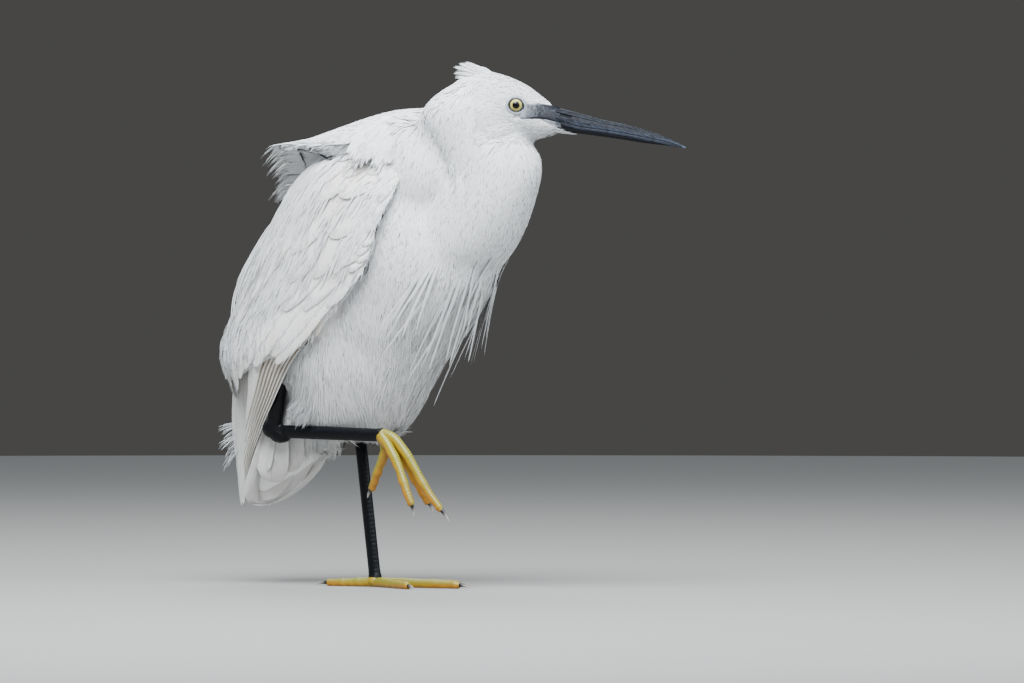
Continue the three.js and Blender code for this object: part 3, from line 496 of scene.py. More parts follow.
def tube_rings(path, radii, sides):
    """Rings of two half sizes round a path: the first up, the second aside."""
    path = np.asarray(path, float)
    tangent = unit(np.gradient(path, axis=0))
    front = unit(np.cross((0.0, 1.0, 0.0), tangent))
    side = unit(np.cross(tangent, front))
    angle = full_turn(sides)[None, :, None]
    radii = np.broadcast_to(np.asarray(radii, float), (len(path), 2))
    upward = np.cos(angle) * radii[:, None, :1] * front[:, None, :]
    sideward = np.sin(angle) * radii[:, None, 1:] * side[:, None, :]
    return path[:, None, :] + upward + sideward


def head_rings(ring_count, ring_size):
    angle = full_turn(ring_size)
    rows = station_at(HEAD_STATIONS, np.linspace(0, len(HEAD_STATIONS) - 1, ring_count))
    return [
        head_point(reach, np.sin(angle) * wide, middle + np.cos(angle) * high)
        for reach, middle, high, wide in rows
    ]


def joined(parts):
    """One set of points, faces and point values from several (points, quads, triangles, values)."""
    points, quads, triangles, values, offset = [], [], [], [], 0
    for place, fours, threes, value in parts:
        points.append(place)
        quads.append(fours + offset)
        triangles.append(np.asarray(threes, int).reshape(-1, 3) + offset)
        values.append(value)
        offset += len(place)
    return [np.concatenate(column) for column in (points, quads, triangles, values)]


def fused_mesh(name, forms, voxel, smoothing, look):
    """One smooth closed skin round several closed forms, each given by its rings."""
    points, quads, triangles, _ = joined([(*lofted(rings), ()) for rings in forms])
    rough = put(name, make_mesh(name, points, quads, triangles, look))
    fuse = rough.modifiers.new("fuse", "REMESH")
    fuse.mode = "VOXEL"
    fuse.voxel_size = voxel * MM
    fuse.use_smooth_shade = True
    soften = rough.modifiers.new("soften", "SMOOTH")
    soften.factor = 0.5
    soften.iterations = smoothing
    mesh = bpy.data.meshes.new_from_object(rough.evaluated_get(bpy.context.evaluated_depsgraph_get()))
    bpy.data.objects.remove(rough)
    mesh.name = name
    return mesh


thigh_path = THIGH_TOP + (THIGH_FOOT - THIGH_TOP) * np.linspace(0, 1, 9)[:, None]
thigh_sizes = np.stack([np.linspace(13, 6.5, 9), np.linspace(11, 5.5, 9)], axis=-1)
flesh = [
    level_rings(TORSO_STATIONS, 60, 72),
    level_rings(RUMP_STATIONS, 24, 48),
    level_rings(UNDERTAIL_STATIONS, 24, 40),
    level_rings(SHOULDER_STATIONS, 30, 40, SHOULDER_ASIDE),
    level_rings(SHOULDER_STATIONS, 30, 40, -SHOULDER_ASIDE),
    level_rings(NECK_STATIONS, 50, 64),
    head_rings(40, 48),
    tube_rings(thigh_path, thigh_sizes, 24),
]
skin_mesh = fused_mesh("skin", flesh, SKIN_VOXEL, SKIN_SMOOTHING, feather_skin)


def mesh_points(mesh):
    """Points and outward normals of a mesh, in millimetres."""
    points = np.empty(len(mesh.vertices) * 3, np.float32)
    normals = np.empty(len(mesh.vertices) * 3, np.float32)
    mesh.vertices.foreach_get("co", points)
    mesh.vertex_normals.foreach_get("vector", normals)
    return points.reshape(-1, 3).astype(float) / MM, normals.reshape(-1, 3).astype(float)


def raise_points(mesh, height):
    """Moves a mesh's points out, each by its height in millimetres."""
    points, normals = mesh_points(mesh)
    points = points + normals * height[:, None]
    mesh.vertices.foreach_set("co", (points * MM).astype(np.float32).ravel())
    mesh.update()


def headness(points):
    """1 on the head, 0 on the body."""
    reach, _ = head_place(points)
    return smoothstep(points[:, 2], 274, 284) * smoothstep(reach, 56, 70)


def feather_line(reach):
    """Height where the feathers of the jaw end, below the bill's base."""
    return np.interp(reach, (101.9, 116.3, 124), (291.9, 284.75, 282.8))


def gape_line(reach):
    """Height of the mouth's line from its corner to the bill."""
    return np.interp(reach, (84, 91, 98, 104, 113, 126), (293.1, 292.5, 292.6, 292.3, 290.3, 287.4))


def lores_top(reach):
    height = (303, 302.6, 301.6, 301.9, 301.2, 300.6, 299)
    return np.interp(reach, (88, 91, 94.7, 101, 106, 109, 113), height)


def bare_face(points):
    """1 where the head bears no feathers: the eyes, the lores and the bill's base."""
    reach, _ = head_place(points)
    height = points[:, 2]
    eye = np.hypot(reach - 85.6, height - 300.9) < 4.7
    back = np.interp(height, (293, 296, 299, 302), (84.5, 87.5, 89.5, 89.5))
    lores = (reach > back) & (height < lores_top(reach)) & (height > gape_line(reach))
    jaw = (reach > 102) & (height > feather_line(reach)) & (height < 300.6)
    bill = (reach > 109.5) & (height > 290) | (reach > 121)
    return ((eye | lores | jaw | bill) & (height > 276) & (reach > 60)).astype(float)


def coat_depth(points):
    """How deep the plumage lies over the skin."""
    x, _, z = points.T
    neck = smoothstep(x, 35, 60) * smoothstep(z, 190, 225)
    depth = BODY_DEPTH + (NECK_DEPTH - BODY_DEPTH) * neck
    face = smoothstep(head_place(points)[0], 84, 104) * smoothstep(z, 276, 284)
    depth = depth + (HEAD_DEPTH - depth) * headness(points)
    return depth * (1 - 0.6 * face) + 0.9 * bare_face(points) * (z > 284)


def creases(points):
    """Depth of the folds of the plumage behind the cheek and before the right shoulder."""
    reach, aside = head_place(points)
    place = np.stack([reach, points[:, 2]], axis=-1)
    depth = np.zeros(len(points))
    for deep, wide, line in CREASES:
        for a, b in zip(np.asarray(line[:-1], float), np.asarray(line[1:], float)):
            along = np.clip((place - a) @ (b - a) / ((b - a) @ (b - a)), 0, 1)[:, None]
            gap = np.linalg.norm(place - a - along * (b - a), axis=1)
            depth = np.maximum(depth, deep * np.exp(-(gap / wide) ** 2))
    return depth * ((aside < 0) | (headness(points) > 0.5))


skin_points, _ = mesh_points(skin_mesh)
raise_points(skin_mesh, -(coat_depth(skin_points) + creases(skin_points)))
make_piece("skin", skin_mesh, ["torso", "neck", "head", "thigh_right"])


# Coat: the short contour feathers that grow on the skin. Each is a tuft of loose barbs, a
# closed three-sided blade apiece, that follows the skin the way the plumage lies: back
# over the head, down the neck and breast, and out to a fringe at the belly.
COAT_LIMIT = 190000
SWIRL = 0.2
TUFT_PATCH = 0.003
BARB_RIDGE = 0.16
BARB_SINK = 0.6
BARB_ROUND = 0.3
BARB_JITTER = 0.08
SEAM_TURN = 2.05 * math.pi


class Ground:
    """A surface that feathers grow on, with the way they lie and its flattened map."""

    def __init__(self, mesh, lie, unwrap):
        points, _ = mesh_points(mesh)
        mesh.calc_loop_triangles()
        triangles = np.empty(len(mesh.loop_triangles) * 3, np.int32)
        mesh.loop_triangles.foreach_get("vertices", triangles)
        triangles = triangles.reshape(-1, 3)
        self.corners = points[triangles]
        self.centres = self.corners.mean(axis=1)
        across = np.cross(self.corners[:, 1] - self.corners[:, 0], self.corners[:, 2] - self.corners[:, 0])
        self.areas = np.linalg.norm(across, axis=1) / 2
        self.facing = unit(across)
        self.tree = BVHTree.FromPolygons(points.tolist(), triangles.tolist())
        self.lie = lie
        self.unwrap = unwrap

    def nearest(self, points):
        """Nearest places on the surface and the way it faces there."""
        hits = [self.tree.find_nearest(point) for point in points.tolist()]
        return np.array([hit[0] for hit in hits]), np.array([hit[1] for hit in hits])

    def sown(self, amount, rng):
        """Evenly scattered places: amount is how many tufts each triangle bears."""
        steps = np.cumsum(amount)
        count = int(steps[-1])
        chosen = np.searchsorted(steps, (np.arange(count) + rng.random(count)) * (steps[-1] / count))
        a, b = rng.random((2, count, 1))
        over = (a + b) > 1
        a, b = np.where(over, 1 - a, a), np.where(over, 1 - b, b)
        corners = self.corners[chosen]
        return corners[:, 0] + a * (corners[:, 1] - corners[:, 0]) + b * (corners[:, 2] - corners[:, 0])


def laid(way, normals, sway=np.zeros(1)):
    """Unit ways along a surface, turned aside a little by the sway."""
    way = way + np.cross(normals, way) * sway[:, None]
    return unit(way - normals * (way * normals).sum(axis=1, keepdims=True))


def around_body(points):
    """Angle round the body from straight ahead, in degrees, the same on both sides."""
    return np.degrees(np.arctan2(np.abs(points[:, 1]), points[:, 0]))


def neckness(points):
    """1 on the folded neck, 0 on the trunk."""
    return smoothstep(points[:, 0], 25, 50) * smoothstep(points[:, 2], 185, 215)


def swirl(points):
    """Slow drift of the feathers' direction from place to place, about -1 to 1."""
    x, y, z = points.T / 10
    return 0.6 * np.sin(0.9 * x + 1.3 * z + 2 * np.sin(0.5 * y)) + 0.4 * np.sin(2.1 * y - 1.7 * z + x)


def lie(points, normals):
    """Direction in which the plumage lies, along the skin."""
    x, y, z = points.T
    drift = np.interp(
        around_body(points), (0, 45, 72, 95, 125, 180), (-0.3, -0.3, 0.1, 0.12, -0.4, -0.5),
    )
    drift = drift + (-0.15 - drift) * smoothstep(z, 195, 225)
    way = np.stack([drift, 0 * drift, 0 * drift - 1], axis=-1)
    under = smoothstep(-normals[:, 2], 0.45, 0.85)[:, None]
    inward = np.stack([(14 - x) / 60, -y / 40, 0 * drift - 0.4], axis=-1)
    way = way + (inward - way) * under
    top = smoothstep(normals[:, 2], 0.45, 0.8) * (1 - headness(points))
    way = way + (np.array((-1.0, 0.0, -0.5)) - way) * top[:, None]
    reach, _ = head_place(points)
    on_head = headness(points)[:, None]
    head_way = -BILL_WAY - UP * np.interp(reach, (60, 85, 110), (0.75, 0.3, 0.12))[:, None]
    way = way + (head_way - way) * on_head
    return laid(unit(way), normals, SWIRL * swirl(points) * (1 - 0.7 * on_head[:, 0]))


def unwrap(points):
    """Place of a skin point on the flattened skin: trunk, neck and head one above another."""
    x, y, z = points.T
    reach, aside = head_place(points)
    row = station_for(HEAD_STATIONS, reach)
    on_head = headness(points) > 0.5
    on_neck = (neckness(points) > 0.5) & ~on_head
    trunk_u, trunk_v = np.arctan2(y, x + 10), 0.02 + 0.6 * (z - 90) / 200
    neck_u, neck_v = np.arctan2(y, x - 70), 0.65 + 0.15 * (z - 185) / 135
    head_u, head_v = np.arctan2(aside, z - row[:, 1]), 0.82 + 0.16 * (reach - 45) / 75
    u = np.where(on_head, head_u, np.where(on_neck, neck_u, trunk_u))
    v = np.where(on_head, head_v, np.where(on_neck, neck_v, trunk_v))
    return np.stack([0.5 + u / SEAM_TURN, np.clip(v, 0.005, 0.99)], axis=-1)


def ground_paths(ground, roots, lengths, steps, hang, twist):
    """Paths that run from the roots along the ground; hang lets them fall free at the end."""
    place, facing = ground.nearest(roots)
    way = ground.lie(place, facing)
    way = unit(way + np.cross(facing, way) * twist[:, None])
    path, faces = [place], [facing]
    for step in range(1, steps + 1):
        ahead = place + way * (lengths / steps)[:, None]
        ahead = ahead - UP * (0.12 * hang * lengths / steps)[:, None]
        near, near_facing = ground.nearest(ahead)
        free = (hang * smoothstep(step / steps, 0.2, 0.9))[:, None]
        place = near + (ahead - near) * free
        facing = unit(near_facing + (facing - near_facing) * np.maximum(free, 0.35))
        flow = ground.lie(near, near_facing)
        way = unit(way + (flow - way) * (0.5 * (1 - free)))
        way = unit(way - facing * (way * facing).sum(axis=1, keepdims=True) * (1 - free))
        path.append(place)
        faces.append(facing)
    return np.stack(path), np.stack(faces)


def draped_paths(ground, roots, way, lengths, steps, pull, clearance):
    """Paths that start along a way, turn down by their weight and rest on the ground."""
    pull = np.broadcast_to(pull, (len(roots),))
    place, facing = ground.nearest(roots)
    place = place + facing * clearance * 0.25
    path, faces = [place], [facing]
    for step in range(1, steps + 1):
        way = unit(way - UP * (pull * step / steps)[:, None])
        ahead = place + way * (lengths / steps)[:, None]
        near, near_facing = ground.nearest(ahead)
        sunk = clearance * min(1, 0.25 + 2 * step / steps) - ((ahead - near) * near_facing).sum(axis=1)
        ahead = ahead + near_facing * np.maximum(sunk, 0)[:, None]
        facing = unit(facing + near_facing * smoothstep(sunk, -6, 1)[:, None])
        way = unit(ahead - place)
        place = ahead
        path.append(place)
        faces.append(facing)
    return np.stack(path), np.stack(faces)


def barbs(path, faces, strands, spread, width, lift, rng, gather):
    """Points of tapered three-sided blades that fan out from each path."""
    steps, count = len(path) - 1, path.shape[1]
    ways = unit(np.gradient(path, axis=0))
    sides = unit(np.cross(ways, faces))
    fan = np.linspace(-1, 1, strands)[None, :] + rng.normal(0, 0.3, (count, strands))
    share = np.clip(1 - 0.3 * fan ** 2 + rng.normal(0, 0.08, fan.shape), 0.45, 1)
    roll = rng.normal(0, 0.12, fan.shape)
    stand = np.abs(lift[:, None] * (1 + BARB_JITTER * rng.normal(0, 1, fan.shape)))
    rings, facings = [], []
    for ring in range(steps + 1):
        t = ring / steps
        at = np.clip(share * t * steps, 0, steps - 1e-6)
        low = at.astype(int)
        blend = (at - low)[..., None]
        pick = np.arange(count)[:, None]

        def between(values):
            return values[low, pick] * (1 - blend) + values[low + 1, pick] * blend

        side, face = between(sides), between(faces)
        aside = spread[:, None] * fan * (0.12 + 0.88 * t ** 0.8) * (1 - gather * t ** 3)
        height = stand * min(1, 1.9 * t) - BARB_SINK * (1 - t) ** 3
        centre = between(path) + side * aside[..., None] + face * height[..., None]
        if ring == steps:
            rings.append(centre[:, :, None, :])
            facings.append(face[:, :, None, :])
            break
        half = (0.5 * width[:, None] * (0.45 + 1.9 * t * (1 - t) + 0.1 * (1 - t)))[..., None]
        lean = face * (half * roll[..., None])
        rings.append(np.stack([
            centre - side * half - lean,
            centre + side * half + lean,
            centre + face * half * BARB_RIDGE * 2,
        ], axis=2))
        facings.append(np.stack([face - side * BARB_ROUND, face + side * BARB_ROUND, face], axis=2))
    return np.concatenate(rings, axis=2), np.concatenate(facings, axis=2), fan


def blade_faces(blades, rings):
    """Faces of closed blades of some three-sided rings and a tip."""
    size = rings * 3 + 1
    start = (np.arange(blades) * size)[:, None, None]
    quads = np.array([
        [r * 3 + k, r * 3 + (k + 1) % 3, r * 3 + 3 + (k + 1) % 3, r * 3 + 3 + k]
        for r in range(rings - 1) for k in range(3)
    ])
    end = (rings - 1) * 3
    ends = np.array([[0, 2, 1]] + [[end + k, end + (k + 1) % 3, size - 1] for k in range(3)])
    return (start + quads).reshape(-1, 4), (start + ends).reshape(-1, 3)


def lay_map(mesh, name, places):
    """UV map of a mesh, from one place for each point."""
    corners = np.empty(len(mesh.loops), np.int32)
    mesh.loops.foreach_get("vertex_index", corners)
    mesh.uv_layers.new(name=name).data.foreach_set("uv", places[corners].astype(np.float32).ravel())


def mark(mesh, **values):
    """Named values of a mesh's points, for its material."""
    for name, value in values.items():
        value = np.asarray(value, np.float32).ravel()
        mesh.attributes.new(name, "FLOAT", "POINT").data.foreach_set("value", value)


def strand_pieces(name, look, path, faces, strands, spread, width, lift, places, rng, gather=0.0,
                  loose=False, shade=0.0):
    """Coat pieces of tufts that follow the paths; places are the roots on the baked map.
    Loose ones are lit by their own faces, the others by those of the ground."""
    steps, count = len(path) - 1, path.shape[1]
    spread, width, lift = (np.broadcast_to(size, (count,)) for size in (spread, width, lift))
    points, facings, fan = barbs(path, faces, strands, spread, width, lift, rng, gather)
    blade = steps * 3 + 1
    tones = np.abs(rng.normal(0, 0.08, (count, 1)) + rng.normal(0, 0.08, (count, strands)))
    # shade adds painted shade to the tufts' tone
    tones += np.broadcast_to(shade, (count,))[:, None]
    along = np.concatenate([np.repeat(np.arange(steps) / steps, 3), [1.0]])
    patch = np.stack(np.broadcast_arrays(
        np.clip(fan, -1, 1)[..., None] / 2, along[None, None, :] - 0.5,
    ), axis=-1) * TUFT_PATCH
    places = places[:, None, None, :] + patch
    per_tuft = strands * ((steps - 1) * 6 + 4)
    share = max(1, COAT_LIMIT // per_tuft)
    for part, start in enumerate(range(0, count, share)):
        chunk = slice(start, start + share)
        tufts = points[chunk]
        quads, triangles = blade_faces(len(tufts) * strands, steps)
        quads, triangles = outward(tufts.reshape(-1, 3), quads, triangles)
        mesh = make_mesh(f"{name}_{part + 1}", tufts.reshape(-1, 3), quads, triangles, look)
        lay_map(mesh, "OFBake", places[chunk].reshape(-1, 2))
        mark(mesh, tone=np.repeat(tones[chunk].ravel(), blade))
        if not loose:
            mesh.normals_split_custom_set_from_vertices(unit(facings[chunk].reshape(-1, 3)))
        make_piece(mesh.name, mesh)


def at_places(size, *places):
    """A size at the given places: a number or a function of them."""
    return size(*places) if callable(size) else np.full(len(places[0]), float(size))


def grow_coat(name, ground, look, bears, spacing, strands, steps, length, spread, width, lift, seed,
              hang=0):
    """Coat pieces of tufts. A size is a number or a function of the roots' places."""
    rng = np.random.default_rng(seed)
    amount = ground.areas * bears(ground.centres, ground.facing) / at_places(spacing, ground.centres) ** 2
    roots = ground.sown(amount, rng)
    roots = roots[bears(*ground.nearest(roots)) > 0.02]
    place, facing = ground.nearest(roots)
    count = len(roots)
    lengths = at_places(length, place) * rng.uniform(0.8, 1.2, count)
    hang = at_places(hang, place, facing)
    path, faces = ground_paths(ground, roots, lengths, steps, hang, rng.normal(0, 0.1, count))
    strand_pieces(
        name, look, path, faces, strands, at_places(spread, place), at_places(width, place),
        at_places(lift, place) * rng.uniform(0.9, 1.1, count), ground.unwrap(place), rng,
        # painted shade: tufts low on the trunk darken toward the bottom
        shade=0.55 * smoothstep(-place[:, 2], -170, -100) * (ground is skin_ground),
    )


def head_bears(points, facing):
    return (headness(points) > 0.5) * (1 - bare_face(points))


def neck_bears(points, facing):
    return (headness(points) <= 0.5) * (neckness(points) > 0.5)


def under_wing(points):
    """1 where the folded wing or the cape covers the trunk."""
    x, y, z = points.T
    angle = around_body(points - 5 * FORWARD)
    front = np.interp(z, (118, 141, 173, 201, 229, 264), (100, 97, 92, 84, 77, 64))
    hem = 145 + 26 * (1 - np.clip((angle - front) / (168 - front), 0, 1)) ** 2
    covered = (angle > front) & (z > hem) & (np.abs(y) > 4)
    return (covered | ((z > 281) & (x < 40))).astype(float)


def undertail(points):
    """1 on the lower part under the tail, which bears broad feathers instead."""
    return smoothstep(-points[:, 2], -96, -88) * (points[:, 0] < -40)


def body_bears(points, facing):
    on_trunk = (headness(points) <= 0.5) * (neckness(points) <= 0.5)
    return on_trunk * (1 - under_wing(points)) * (1 - undertail(points))


def head_fineness(points):
    """0 at the nape, 1 round the bill."""
    return smoothstep(head_place(points)[0], 62, 108)


def belly_length(points):
    return np.interp(points[:, 2], (95, 130, 190, 250), (22, 26, 22, 16))


def belly_hang(points, facing):
    """How free the ends hang: only where the body turns under, behind and at the fringe."""
    low = smoothstep(-points[:, 2], -128, -100)
    turned = smoothstep(-facing[:, 2], 0.1, 0.6)
    return np.clip(0.85 * low * (0.4 + turned), 0, 0.9)


def coat_lift(points):
    return 0.9 * coat_depth(points)


skin_ground = Ground(skin_mesh, lie, unwrap)

grow_coat(
    "coat_head", skin_ground, coat_look, head_bears, lambda p: 1.5 - 0.4 * head_fineness(p), 4, 3,
    lambda p: 7.5 - 4.8 * head_fineness(p), lambda p: 1.1 - 0.5 * head_fineness(p),
    lambda p: 0.7 - 0.24 * head_fineness(p), coat_lift, 11,
)
grow_coat("coat_neck", skin_ground, coat_look, neck_bears, 2.45, 4, 3, 16, 1.9, 1.1, coat_lift, 12)
grow_coat(
    "coat_body", skin_ground, body_look_shaded, body_bears, 3.1, 5, 3, belly_length, 2.6, 1.05, coat_lift, 13,
    belly_hang,
)


def belly_bears(points, facing):
    """The lower trunk, whose long loose feathers spread over one another."""
    low = smoothstep(-points[:, 2], -196, -160) * smoothstep(points[:, 2], 108, 118)
    return body_bears(points, facing) * low


def throat_bears(points, facing):
    """The throat and chin, where the feathers stand loose."""
    reach, _ = head_place(points)
    below = gape_line(reach) - 2.5 - points[:, 2]
    return head_bears(points, facing) * smoothstep(reach, 86, 98) * (below > 0)


grow_coat(
    "belly_feathers", skin_ground, body_look_shaded, belly_bears, 8.0, 7, 5, 30, 5.0, 0.7,
    lambda p: 1.25 * coat_depth(p), 14, lambda p, n: 0.6 * belly_hang(p, n),
)
grow_coat("coat_throat", skin_ground, body_look_shaded, throat_bears, 1.7, 3, 4, 5.5, 0.9, 0.42, 0.9, 15, 0.35)

loose_rng = np.random.default_rng(16)
for name, spot, spread_out, way, length, tufts in (
    ("flank_barbs", (-34.0, -32.0, 114.0), (8.0, 1.0, 5.0), (-0.5, -0.3, -0.8), 12, 40),
    ("vent_barbs", (-30.0, -12.0, 95.0), (7.0, 7.0, 1.5), (-0.4, -0.25, -0.9), 10, 26),
):
    loose_roots = np.array(spot) + loose_rng.uniform(-1, 1, (tufts, 3)) * spread_out
    loose_way = unit(np.array(way) + 0.2 * loose_rng.normal(0, 1, (tufts, 3)))
    loose_length = length * loose_rng.uniform(0.7, 1.2, tufts)
    loose_path, loose_faces = draped_paths(skin_ground, loose_roots, loose_way, loose_length, 6, 0.05, 1.0)
    strand_pieces(
        name, body_look_shaded, loose_path, loose_faces, 6, 2.4, 0.3, 0.6, unwrap(loose_path[0]), loose_rng,
    )


# Wings: folded against the body. Each is a shell under rows of coverts, the long
# secondaries at the hem, soft scapulars over the rear and a stack of primaries with tan
# shafts below. A feather is a thin closed vane, ridged at its shaft, notched at its edge.
WING_STATIONS = [
    # height, middle forward, half length behind, half width
    (50, -97, 6, 9),
    (76, -84, 20, 21),
    (100, -64, 38, 32),
    (121, -48, 57, 41),
    (141, -31, 83, 48.5),
    (160, -18, 91, 52.5),
    (190, -2, 92, 55),
    (206, 3, 89, 56),
    (219, 5, 82, 56),
    (246, 5, 64, 54),
    (258, 6, 53, 50),
    (270, 9, 38, 42),
    (281, 13, 22, 28),
]
WING_FRONT = [
    # height, degrees round from straight ahead to the wing's front edge
    (50, 96), (100, 94), (118, 89), (141, 88), (154, 85),
    (173, 82), (201, 74), (229, 66), (264, 44), (281, 50),
]
WING_REAR = 168
WING_TOP = 279
WING_HEM = 128
WING_HEM_RISE = 26
WING_SHELL = 4.0
COVERT_ROWS = [
    # count, root and tip down the wing, half width, height of the tip, roundness
    (6, 0.0, 0.16, 0.085, 0.7, 2.2),
    (6, 0.04, 0.29, 0.1, 0.9, 2.1),
    (5, 0.14, 0.5, 0.125, 1.0, 2.0),
    (7, 0.3, 0.62, 0.085, 0.9, 2.0),
    (8, 0.42, 0.78, 0.08, 0.9, 1.9),
    (11, 0.5, 1.04, 0.085, 1.0, 2.3),
]
EDGE_COVERTS = [
    # root and tip down the wing, middle and half width across it: long ones above small ones
    (0.1, 0.4, 0.01, 0.03), (0.16, 0.45, 0.025, 0.03), (0.06, 0.3, 0.03, 0.03),
    (0.42, 0.52, 0.012, 0.034), (0.46, 0.56, 0.03, 0.034), (0.5, 0.6, 0.012, 0.034),
    (0.54, 0.64, 0.03, 0.034),
]
FRINGE_TUFTS = 17
FRINGE_REACH = (0.7, 0.9, 1.1)
SCAPULARS = 13
LONG_FEATHERS = [
    # points a long white feather runs through, on the right side, and its half width
    ([(-97, -7, 165), (-106, -6, 128), (-107.5, -4.5, 100), (-105, -3.5, 76), (-103, -3, 50)], 5.0),
    ([(-90, -14, 160), (-96, -13, 126), (-97, -10, 98), (-96.5, -7, 74), (-97, -6, 52)], 7.0),
    ([(-98, -3, 168), (-108, -2, 130), (-110, -1.5, 104), (-108, -1, 80), (-106, -1, 49)], 4.5),
]
PRIMARIES = 7
PRIMARY_ROOT = 165
PRIMARY_TIP = 52
PRIMARY_STEP = 7.5
PRIMARY_WIDTH = 11
VANE_THICKNESS = 0.3
VANE_ROWS = 22
VANE_COLUMNS = 10
VANE_STREAKS = 0.35
ATLAS = 16
CELL_MARGIN = 0.06

vane_pattern, pattern_in = shader_group("vane_pattern", {
    "Barbs": 46.0, "Slant": 9.0, "Shaft Width": 0.035, "Shaft Place": 0.5,
}, ["Height", "Shaft", "Streak"])
vane_place = map_place(vane_pattern, "vane")
vane_axes = add_node(vane_pattern, "ShaderNodeSeparateXYZ", Vector=vane_place).outputs
aside_shaft = reckon(vane_pattern, "SUBTRACT", vane_axes["X"], pattern_in["Shaft Place"])
from_shaft = reckon(vane_pattern, "ABSOLUTE", aside_shaft)
along_barbs = reckon(vane_pattern, "MULTIPLY", vane_axes["Y"], pattern_in["Barbs"])
barb_slant = reckon(vane_pattern, "MULTIPLY", pattern_in["Slant"], -1.0)
barb_phase = reckon(vane_pattern, "MULTIPLY_ADD", from_shaft, barb_slant, along_barbs)
barb_turn = reckon(vane_pattern, "MULTIPLY", barb_phase, 2 * math.pi)
shaft_mask = stretch_to(vane_pattern, from_shaft, 0.0, pattern_in["Shaft Width"], 1.0, 0.0, "SMOOTHSTEP")
streak_place = add_node(
    vane_pattern, "ShaderNodeVectorMath", {"operation": "MULTIPLY"}, i0=vane_place, i1=(16.0, 1.1, 1.0),
).outputs[0]
streak_mask = stretch_to(vane_pattern, noise(vane_pattern, streak_place, 1.6, 4.0), 0.38, 0.72)
add_node(
    vane_pattern, "NodeGroupOutput", Height=reckon(vane_pattern, "SINE", barb_turn), Shaft=shaft_mask,
    Streak=streak_mask,
)


def vane_look(name, white, shade, shaft_color, shaft_share, bump, drift=0.2, **pattern_values):
    """Material of a vane: tinted plumage with fine streaks, slanting barbs and a shaft."""
    look, tree, shader, tinted = plumage(name, white, shade, drift, 38.0, 0.62)
    pattern = add_node(tree, "ShaderNodeGroup", {"node_tree": vane_pattern}, **pattern_values).outputs
    streaks = reckon(tree, "MULTIPLY", pattern["Streak"], VANE_STREAKS)
    streaked = mixed(tree, streaks, tinted, (*shade, 1))
    shaft = reckon(tree, "MULTIPLY", pattern["Shaft"], shaft_share)
    dress(tree, shader, mixed(tree, shaft, streaked, (*shaft_color, 1)), pattern["Height"], bump, 0.0004)
    return look


def vary(*seeds):
    """Small repeatable variation from feather to feather, between -1 and 1."""
    wave = math.sin(4.7 + sum(seed * (12.9898 + 65.3 * k) for k, seed in enumerate(seeds))) * 43758.5453
    return (wave - math.floor(wave)) * 2 - 1


def wing_point(side, across, height, lift):
    """Point on the folded wing; across runs from its front edge to its rear one."""
    row = station_for(WING_STATIONS, height)
    front = station_for(WING_FRONT, height)[..., 1]
    angle = np.radians(front + (WING_REAR - front) * across)
    return np.stack([
        row[..., 1] + np.cos(angle) * (row[..., 2] + lift),
        side * np.sin(angle) * (row[..., 3] + lift),
        np.broadcast_to(height, angle.shape),
    ], axis=-1)


def wing_height(across, down):
    hem = WING_HEM + WING_HEM_RISE * (1 - across) ** 2
    return WING_TOP + (hem - WING_TOP) * down


def slab(upper, lower):
    """Points and outward faces of a closed slab between two grids of points."""
    rows, columns = upper.shape[:2]
    points = np.concatenate([upper.reshape(-1, 3), lower.reshape(-1, 3)])
    at = np.arange(rows * columns).reshape(rows, columns)
    under = at + rows * columns
    quads = [
        np.stack([at[:-1, :-1], at[1:, :-1], at[1:, 1:], at[:-1, 1:]], axis=-1),
        np.stack([under[:-1, :-1], under[:-1, 1:], under[1:, 1:], under[1:, :-1]], axis=-1),
    ]
    rim = np.concatenate([at[0, :-1], at[:-1, -1], at[-1, :0:-1], at[:0:-1, 0]])
    following = np.roll(rim, -1)
    quads = [q.reshape(-1, 4) for q in quads]
    quads.append(np.stack([rim, following, following + rows * columns, rim + rows * columns], axis=-1))
    return points, outward(points, np.concatenate(quads))[0]


def vane(place, rise, roundness, seed, narrow=0.55, tilt=0.3, root_lift=-0.8, thickness=VANE_THICKNESS,
         rows=VANE_ROWS, columns=VANE_COLUMNS, fray=0.03):
    """One feather: place(along, aside, lift) lays it out. Its tip is rounded, its edges
    fray a little and its shaft stands up as a ridge."""
    along = 1 - (1 - np.linspace(0, 1, rows + 1)) ** 1.6
    aside = np.sin(np.linspace(-1, 1, columns + 1) * math.pi / 2)
    rng = np.random.default_rng(int(abs(seed) * 1000) + 7)
    taper = (1 - np.clip((along - 0.5) / 0.5, 0, 1) ** roundness) ** (1 / roundness)
    half = (narrow + (1 - narrow) * smoothstep(along, 0, 0.5)) * np.maximum(taper, 0.03)
    edge = 1 + fray * rng.normal(0, 1, (rows + 1, 2)) * smoothstep(along, 0.3, 0.8)[:, None]
    notch = rng.integers(rows // 2, rows - 3)
    edge[notch, rng.integers(0, 2)] *= 0.88
    wide = np.where(aside[None, :] < 0, edge[:, :1], edge[:, 1:])
    s = aside[None, :] * half[:, None] * wide
    lift = root_lift + (rise - root_lift) * smoothstep(along, 0.1, 1.0)[:, None]
    lift = lift - s * tilt + 0.14 * np.exp(-(aside / 0.12) ** 2)[None, :] - 0.3 * aside[None, :] ** 4
    t = np.broadcast_to(along[:, None], s.shape)
    thin = thickness * (1 - 0.75 * np.maximum(np.abs(aside)[None, :] ** 3, smoothstep(t, 0.75, 1.0)))
    points, quads = slab(place(t, s, lift), place(t, s, lift - thin))
    across = np.broadcast_to((aside[None, :] + 1) / 2, s.shape)
    flat = np.stack([across, t], axis=-1).reshape(-1, 2)
    return points, quads, np.concatenate([flat, flat])


